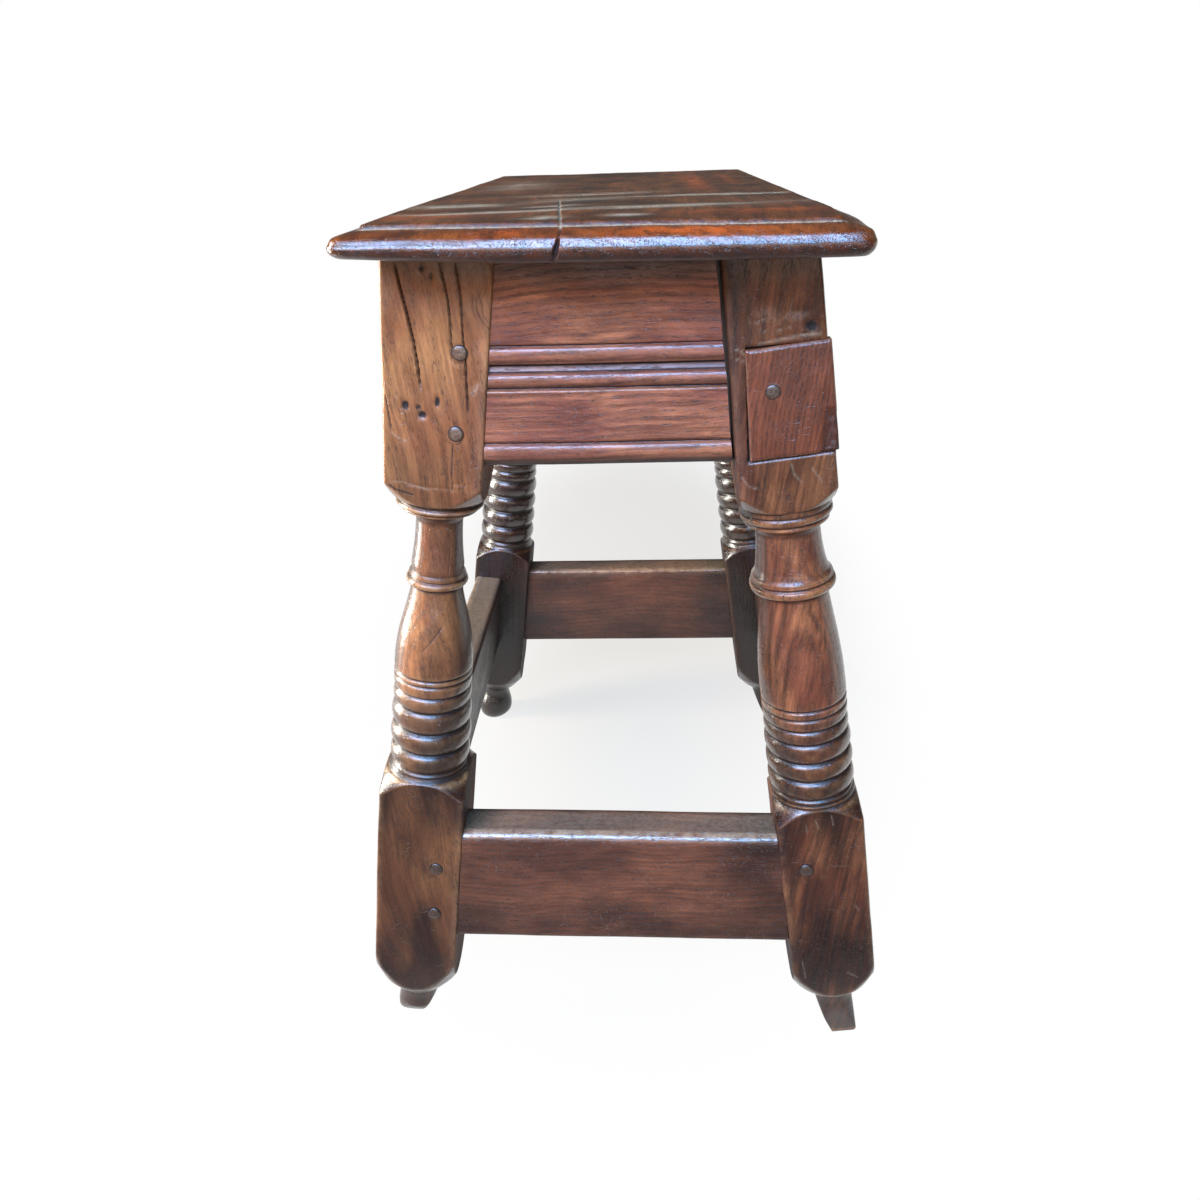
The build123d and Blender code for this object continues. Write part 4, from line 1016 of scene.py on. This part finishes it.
# The split runs in from the front end, opens over the edge and gapes at the foot of the moulding.
fall = stool_height - points[:, 2]
along_crack = np.where(points[:, 1] < 4 - seat_half_length, -fall - seat_half_length, points[:, 1])
crack_line = [(-20.8, -283), (-19.7, -279), (-18.4, -275), (-17.4, -271), (-16.9, -267), (-16.6, -262),
              (-19.0, -230), (-22.0, -195), (-27.5, -120)]
gape = np.where(points[:, 2] < stool_height - 6, 0.35 + 0.085 * np.clip(fall, 0, 17), 0.75)
crack = near_line(points[:, 0], along_crack, crack_line, gape)
crack *= (points[:, 2] > stool_height - seat_thickness + 0.5) & (points[:, 1] < 0)

# The front end sags to its right, its lower edge is worn uneven, and the whole board is lumpy and nicked.
corner_sag = np.clip((points[:, 0] + 105) / 210, 0, 1) * 1.9
lower_edge = np.interp(points[:, 0], [-123, -95, -40, 60, 123], [2.8, 1.4, -0.6, -0.5, 0.0])
front_end = ease(-219, -256, points[:, 1])
points[:, 2] -= front_end * (corner_sag - lower_edge * np.clip(fall / seat_thickness, 0, 1) ** 2)
lumps = unevenness(points, (34, 60, 34), 3)
small_lumps = unevenness(points, (7, 9, 7), 4)
edge_share = 1 - ease(0, 16, flat_edge)
points[:, 2] -= top_side * (0.42 + 0.30 * lumps + 0.10 * small_lumps) * (1 - 0.6 * edge_share)
inward = -points[:, :2] / np.maximum(np.abs(points[:, :2]), 1e-6)
nick = np.clip(unevenness(points, (15, 15, 11), 5) - 0.25, 0, 1) * 0.9 + 0.125 * (1 + small_lumps)
nick *= edge_share * (flat_edge < 9)
on_ends = np.abs(points[:, 1]) > seat_half_length - 18
on_sides = np.abs(points[:, 0]) > seat_half_width - 18
points[:, 1] += inward[:, 1] * nick * on_ends
points[:, 0] += inward[:, 0] * nick * on_sides
points[:, 1] += crack * 7.0 * ease(4.0, 10.0, fall) * (points[:, 1] < -250)
points[:, 2] -= crack * (points[:, 2] > stool_height - 8)

# Dirt fills the quirk and a painted highlight lies pale along the fillet; hands wear the edge, mostly either
# side of the middle of the front; painted reflections lie in pale streaks on the field among rubbed places;
# and painted shade darkens the lower half of the moulding and its underside.
quirk = np.exp(-((flat_edge - 12.4) / 0.6) ** 2) * top_side
# A painted highlight along the fillet.
fillet = np.exp(-((flat_edge - 13.1) / 0.3) ** 2) * top_side
field = ease(15.5, 18.5, flat_edge) * top_side
# Pale streaks on the field are painted reflections.
smear_and_sheen = blots(points, (
    (-85, -150, 26, 12, 0.9, 0.1), (-28, -170, 12, 9, 0.8, 0), (60, -104, 55, 7, 0.9, 0.05),
    (-16, -70, 32, 9, 1.0, 0.12), (10, -190, 70, 8, 0.8, 0.12), (-60, -200, 40, 5, 0.9, 0.1),
    (-70, 60, 20, 50, 0.5, 0), (-20, -120, 30, 14, 0.4, 0.3), (-28, -236, 9, 6, 0.8, 0),
    (12, -232, 8, 5, 0.8, 0)))
streaks = 0.75 + 0.9 * unevenness(points, (26, 7, 9), 8) + 0.4 * unevenness(points, (6, 30, 9), 9)
smear_and_sheen *= field * np.clip(streaks, 0, 1.4)
# Painted shade along the underside of the moulding.
underside = ease(stool_height - 13.5, stool_height - 16.5, points[:, 2]) * 0.45
thumb_rub = np.exp(-((flat_edge - 6.5) / 4.0) ** 2) * top_side
held = 0.06 + 0.94 * np.exp(-((points[:, 0] - 42) / 34) ** 2) + 0.5 * np.exp(-((points[:, 0] + 42) / 16) ** 2)
rubbed = np.maximum(thumb_rub * held + edge_share * 0.12, field * blots(points, (
    (58, 60, 7, 110, 0.8, 0), (-92, -215, 26, 18, 0.55, 0), (70, -225, 40, 9, 0.5, 0),
    (84, 90, 5, 90, 0.4, 0))))
on_top = points[:, 2] > stool_height - 5
crack_edge = np.clip(crack * 2, 0, 1) * on_top
# Painted shade darkens the lower half of the moulding; dark clouds lie on the thumb and the field.
smoke = 0.85 * ease(7.5, 10.5, fall) * edge_share
smoke += 0.4 * thumb_rub * np.clip(unevenness(points, (30, 30, 12), 13), 0, 1)
smoke += 1.1 * field * np.clip(unevenness(points, (34, 22, 12), 21), 0, 1)
seat = skin("seat", points, faces, seat_oak, "seat_top", wear=rubbed, polish=edge_share, smoke=smoke,
            grime=quirk * 0.5 + underside, dust=fillet + 1.7 * smear_and_sheen + crack_edge * 0.7, dry=field * 0.1,
            split=crack * np.where(on_top, 0.35, 0.9 + 1.7 * ease(6, 11, fall)))


# ------------------------------------------------------------------ pegs
# Every joint is drawn tight by pegs cleft from straight oak and driven from outside. They were trimmed off
# by chisel and now stand a hair proud, with dark end grain.
peg_radius, peg_proud, peg_depth = 4.2, 1.0, 5.0
peg_from_shoulder = 15.5

# End grain drinks the wax: speckled brown, dull beside the polished wood, and dark round its rim.
peg_oak = bpy.data.materials.new("peg_oak_end_grain")
peg_oak.use_nodes = True
tree = peg_oak.node_tree
tree.nodes.clear()
place = add(tree, "ShaderNodeTexCoord").outputs["Object"]
timber = add(tree, "ShaderNodeMapping", {"Vector": place, "Scale": (1000, 1000, 1000)}).outputs["Vector"]
speck = add(tree, "ShaderNodeTexNoise", {"Vector": timber, "Scale": 0.7, "Detail": 4.0, "Roughness": 0.7})
speck = speck.outputs["Fac"]
speck_share = add(tree, "ShaderNodeMapRange", {"Value": speck, "From Min": 0.4, "From Max": 0.62}).outputs[0]
edge, soot = (add(tree, "ShaderNodeAttribute", attribute_name=mark).outputs["Fac"]
              for mark in ("rim", "smoke"))
tone = linear("5a3b29")
for share, laid, blend in ((speck_share, "8c684a", "MIX"), (edge, "2b1b13", "MIX"),
                           (soot, smoke_tint, "MULTIPLY")):
    tone = add(tree, "ShaderNodeMix", {"Factor": share, "A": tone, "B": linear(laid)}, data_type="RGBA",
               blend_type=blend).outputs["Result"]
relief = add(tree, "ShaderNodeBump", {"Height": speck, "Strength": 0.8, "Distance": 0.0003}).outputs[0]
surface = add(tree, "ShaderNodeBsdfPrincipled", {"Base Color": tone, "Roughness": 0.45, "IOR": 1.5,
                                                 "Coat Weight": 0.7, "Coat Roughness": 0.25,
                                                 "Normal": relief})
add(tree, "ShaderNodeOutputMaterial", {"Surface": surface.outputs[0]})


def peg_tree():
    """Sets a domed, uneven peg head on every point, facing the way the point says."""
    group = bpy.data.node_groups.new("cleft_pegs", "GeometryNodeTree")
    for label, kind in (("Geometry", "Geometry"), ("Radius", "Float"), ("Depth", "Float"),
                        ("Unevenness", "Float"), ("Oak", "Material")):
        group.interface.new_socket(label, in_out="INPUT", socket_type="NodeSocket" + kind)
    group.interface.new_socket("Geometry", in_out="OUTPUT", socket_type="NodeSocketGeometry")
    given = add(group, "NodeGroupInput").outputs
    peg = add(group, "GeometryNodeMeshCylinder", {"Vertices": 28, "Side Segments": 4, "Fill Segments": 5,
                                                  "Radius": given["Radius"], "Depth": given["Depth"]})
    # The head falls off by 0.9 mm towards its rim, and the rim is marked for the stain.
    where = add(group, "GeometryNodeInputPosition").outputs[0]
    parts = add(group, "ShaderNodeSeparateXYZ", {0: where}).outputs
    flat = add(group, "ShaderNodeCombineXYZ", {0: parts["X"], 1: parts["Y"]}).outputs[0]
    out = add(group, "ShaderNodeVectorMath", {0: flat}, operation="LENGTH").outputs["Value"]
    share = add(group, "ShaderNodeMath", {0: out, 1: given["Radius"]}, operation="DIVIDE").outputs[0]
    fall = add(group, "ShaderNodeMath", {0: share, 1: 3.5}, operation="POWER").outputs[0]
    fall = add(group, "ShaderNodeMath", {0: fall, 1: -0.0009}, operation="MULTIPLY").outputs[0]
    head = add(group, "ShaderNodeMath", {0: parts["Z"], 1: 0.0}, operation="GREATER_THAN").outputs[0]
    fall = add(group, "ShaderNodeMath", {0: fall, 1: head}, operation="MULTIPLY").outputs[0]
    lower = add(group, "ShaderNodeCombineXYZ", {2: fall}).outputs[0]
    domed = add(group, "GeometryNodeSetPosition",
                {"Geometry": peg.outputs["Mesh"], "Offset": lower}).outputs[0]
    edge = add(group, "ShaderNodeMapRange", {"Value": share, "From Min": 0.72, "From Max": 1.0}).outputs[0]
    marked = add(group, "GeometryNodeStoreNamedAttribute", {"Geometry": domed, "Name": "rim", "Value": edge},
                 data_type="FLOAT", domain="POINT").outputs[0]
    facing = add(group, "GeometryNodeInputNamedAttribute", {"Name": "facing"},
                 data_type="FLOAT_VECTOR").outputs[0]
    turn = add(group, "FunctionNodeAlignRotationToVector", {"Vector": facing}, axis="Z").outputs[0]
    set_out = add(group, "GeometryNodeInstanceOnPoints", {
        "Points": given["Geometry"], "Instance": marked, "Rotation": turn}).outputs[0]
    real = add(group, "GeometryNodeRealizeInstances", {"Geometry": set_out}).outputs[0]
    # No two heads are cut alike: each point moves a little, by where it stands in the stool.
    here = add(group, "GeometryNodeInputPosition").outputs[0]
    chance = add(group, "ShaderNodeTexNoise",
                 {"Vector": here, "Scale": 260.0, "Detail": 2.0}).outputs["Color"]
    chance = add(group, "ShaderNodeVectorMath", {0: chance, 1: (0.5, 0.5, 0.5)},
                 operation="SUBTRACT").outputs[0]
    chance = add(group, "ShaderNodeVectorMath", {0: chance, "Scale": given["Unevenness"]},
                 operation="SCALE").outputs[0]
    carved = add(group, "GeometryNodeSetPosition", {"Geometry": real, "Offset": chance}).outputs[0]
    done = add(group, "GeometryNodeSetMaterial", {"Geometry": carved, "Material": given["Oak"]})
    add(group, "NodeGroupOutput", {0: done.outputs[0]})
    return group


peg_maker = peg_tree()


def pegs(name, node, places, sooty, uneven=0.5):
    """One group of pegs from a list of (middle of the head, outward direction), in millimetres."""
    seeds = bpy.data.meshes.new(name + "_points")
    centres = [np.array(middle) - np.array(facing) * (peg_depth / 2) for middle, facing in places]
    seeds.from_pydata([tuple(c / 1000) for c in centres], [], [])
    layer = seeds.attributes.new("facing", "FLOAT_VECTOR", "POINT")
    layer.data.foreach_set("vector", np.array([facing for _, facing in places], np.float32).ravel())
    mesh = made_by_nodes(peg_maker, name + "_points", seeds, {
        "Radius": peg_radius / 1000, "Depth": peg_depth / 1000, "Unevenness": uneven / 1000, "Oak": peg_oak})
    work = dress(mesh, name, node, smoke=np.full(len(mesh.vertices), sooty))
    return work


def end_peg(side, end, z, proud=peg_proud):
    """A peg in the face of a leg that looks out over the stool's end."""
    x = side * (inner_face(z) + peg_from_shoulder)
    return (x, end * (frame_half_length + proud), z), (0, end, 0)


def side_peg(side, end, z):
    """A peg in the leaning outer face of a leg."""
    y = end * (side_shoulder + peg_from_shoulder)
    middle = stand(np.array(peg_proud), np.array(y), np.array(z / math.cos(lean)), side)
    return tuple(middle), (side * math.cos(lean), 0, math.sin(lean))


# The patch covers the right front leg's rail pegs, and its lower stretcher peg has sunk under the grime.
for end, end_name in ((-1, "front"), (1, "back")):
    for side, side_name in ((-1, "left"), (1, "right")):
        patched = end < 0 and side > 0
        heads = [side_peg(side, end, z) for z in rail_peg_heights]
        if not patched:
            heads += [end_peg(side, end, z) for z in rail_peg_heights]
        pegs(f"pegs_rail_{end_name}_{side_name}", f"pegs_apron_{end_name}_{side_name}", heads,
             0.1 if end < 0 else 0.5)
        heads = [side_peg(side, end, z) for z in stretcher_peg_heights]
        low_proud = -0.8 if patched else peg_proud
        heads += [end_peg(side, end, z, proud) for z,
                  proud in zip(stretcher_peg_heights, (low_proud, peg_proud))]
        pegs(f"pegs_stretcher_{end_name}_{side_name}_heads", f"pegs_stretcher_{end_name}_{side_name}", heads,
             0.72)
patch_peg_in, patch_peg_height = 30.0, 450.0
patch_peg_x = frame_half_width + (leg_top - patch_peg_height) * math.tan(lean) - patch_peg_in / math.cos(lean)
patch_peg_y = -(frame_half_length + patch_proud + 0.5)
pegs("patch_peg_head", "leg_patch_peg", [((patch_peg_x, patch_peg_y, patch_peg_height), (0, -1, 0))], 0.6)
seat_peg_x, seat_peg_top = frame_half_width - half_stock, stool_height - 0.3
pegs("seat_peg_heads", "pegs_seat", [((side * seat_peg_x, end * leg_middle, seat_peg_top), (0, 0, 1))
                                     for side in (-1, 1) for end in (-1, 1)], 0.3, uneven=0.2)


# ------------------------------------------------------------------ studio
# A white floor and wall under four lamps: a wide blue one before and above the stool like an open sky, a warm
# key behind the camera, a weak fill low in front and a narrow one at the left side. The camera stands before
# one end, a hand's breadth above the seat, and is held a little askew.
eye = Vector((0.01904, -0.70898, 0.57587))
yaw, pitch, roll = (math.radians(a) for a in (-2.80, 20.48, -1.78))
ahead = Vector((math.sin(yaw) * math.cos(pitch), math.cos(yaw) * math.cos(pitch), -math.sin(pitch)))
level = Vector((math.cos(yaw), -math.sin(yaw), 0))
upward = level.cross(ahead)
right = math.cos(roll) * level + math.sin(roll) * upward
upward = math.cos(roll) * upward - math.sin(roll) * level

camera = bpy.data.objects.new("camera", bpy.data.cameras.new("camera"))
camera.data.sensor_width = 36.0
camera.data.lens = 29.6
camera.data.shift_y = -0.0833
camera.data.clip_start = 0.02
camera.matrix_world = Matrix.Translation(eye) @ Matrix((right, upward, -ahead)).transposed().to_4x4()
scene.collection.objects.link(camera)
scene.camera = camera

floor_mesh = bpy.data.meshes.new("floor")
floor_mesh.from_pydata([(-30, -30, 0), (30, -30, 0), (30, 30, 0), (-30, 30, 0)], [], [(0, 1, 2, 3)])
floor = bpy.data.objects.new("floor", floor_mesh)
scene.collection.objects.link(floor)
# A sheet of white paper that takes a soft shadow under the stool; round the stool it is a painted grey shade
# that fades out to pure white.
floor_paint = bpy.data.materials.new("floor_matt_white")
floor_paint.use_nodes = True
tree = floor_paint.node_tree
tree.nodes.clear()
place = add(tree, "ShaderNodeTexCoord").outputs["Object"]
squeezed = add(tree, "ShaderNodeVectorMath", {0: place, 1: (2.2, 0.9, 0.0)}, operation="MULTIPLY").outputs[0]
apart = add(tree, "ShaderNodeVectorMath", {0: squeezed, 1: (0.0, 0.54, 0.0)},
            operation="DISTANCE").outputs["Value"]
far = add(tree, "ShaderNodeMapRange", {"Value": apart, "From Min": 0.22, "From Max": 0.82},
          interpolation_type="SMOOTHSTEP").outputs[0]
matt = add(tree, "ShaderNodeBsdfDiffuse", {"Color": linear("656057")}).outputs[0]
lift = add(tree, "ShaderNodeEmission", {"Color": (1, 1, 1, 1), "Strength": 0.68}).outputs[0]
near_floor_painted_shade = add(tree, "ShaderNodeAddShader", {0: matt, 1: lift}).outputs[0]
far_floor = add(tree, "ShaderNodeEmission", {"Color": (1, 1, 1, 1), "Strength": 1.0}).outputs[0]
white_floor = add(tree, "ShaderNodeMixShader", {0: far, 1: near_floor_painted_shade, 2: far_floor}).outputs[0]
path = add(tree, "ShaderNodeLightPath").outputs
seen = add(tree, "ShaderNodeMath", {0: path["Is Camera Ray"], 1: path["Is Glossy Ray"]}, operation="MAXIMUM")
seen = add(tree, "ShaderNodeMath", {0: seen.outputs[0], 1: path["Is Transmission Ray"]}, operation="MAXIMUM")
shown = add(tree, "ShaderNodeMixShader", {0: seen.outputs[0], 1: matt, 2: white_floor}).outputs[0]
# Polished wood mirrors the white sheet round and behind the stool; the sheet ends before the camera.
before = add(tree, "ShaderNodeSeparateXYZ", {0: place}).outputs["Y"]
before = add(tree, "ShaderNodeMapRange",
             {"Value": before, "From Min": -0.235, "From Max": -0.30, "To Max": 0.95})
before = add(tree, "ShaderNodeMath", {0: before.outputs[0], 1: path["Is Glossy Ray"]}, operation="MULTIPLY")
shown = add(tree, "ShaderNodeMixShader", {0: before.outputs[0], 1: shown, 2: matt})
add(tree, "ShaderNodeOutputMaterial", {"Surface": shown.outputs[0]})
floor_mesh.materials.append(floor_paint)

# White where it is looked at or mirrored low down, and a dim warm light from all round otherwise.
sky = bpy.data.worlds.new("studio")
sky.use_nodes = True
scene.world = sky
tree = sky.node_tree
tree.nodes.clear()
path = add(tree, "ShaderNodeLightPath").outputs
way = add(tree, "ShaderNodeTexCoord").outputs["Generated"]
tall = add(tree, "ShaderNodeSeparateXYZ", {0: way}).outputs["Z"]
wall = add(tree, "ShaderNodeMapRange", {"Value": tall, "From Min": 0.0, "From Max": 0.03, "To Min": 1.0,
                                        "To Max": 0.0}).outputs[0]
mirrored = add(tree, "ShaderNodeMath", {0: path["Is Glossy Ray"], 1: path["Is Transmission Ray"]},
               operation="MAXIMUM").outputs[0]
mirrored = add(tree, "ShaderNodeMath", {0: mirrored, 1: wall}, operation="MULTIPLY").outputs[0]
seen = add(tree, "ShaderNodeMath", {0: mirrored, 1: path["Is Camera Ray"]}, operation="MAXIMUM").outputs[0]
dim = add(tree, "ShaderNodeBackground", {"Color": linear("fff1e2"), "Strength": 0.13}).outputs[0]
white = add(tree, "ShaderNodeBackground", {"Color": (1, 1, 1, 1), "Strength": 1.0}).outputs[0]
shown = add(tree, "ShaderNodeMixShader", {0: seen, 1: dim, 2: white})
add(tree, "ShaderNodeOutputWorld", {"Surface": shown.outputs[0]})


def softbox(name, middle, aim, width, height, watts, colour):
    """A lamp behind a white cloth, aimed at a point."""
    lamp = bpy.data.lights.new(name, "AREA")
    lamp.shape, lamp.size, lamp.size_y = "RECTANGLE", width, height
    lamp.energy, lamp.color = watts, colour
    made = bpy.data.objects.new(name, lamp)
    made.location = middle
    made.rotation_euler = (Vector(aim) - Vector(middle)).to_track_quat("-Z", "Y").to_euler()
    scene.collection.objects.link(made)


softbox("sky_softbox", (-0.5, -1.72, 1.72), (0.0, -0.2, 0.35), 2.3, 1.0, 155.0, (0.22, 0.53, 1.0))
softbox("key_softbox", (-1.3, -2.7, 2.1), (0.0, 0.0, 0.25), 2.2, 2.0, 84.0, (1.0, 0.46, 0.14))
softbox("fill_softbox", (0.25, -2.3, 0.7), (0.0, -0.2, 0.35), 1.8, 0.9, 7.0, (0.98, 0.86, 0.74))
softbox("side_softbox", (-1.25, -0.05, 0.62), (0.0, -0.1, 0.3), 0.26, 1.2, 50.0, (1.0, 0.96, 0.86))

scene.view_settings.view_transform = "Standard"
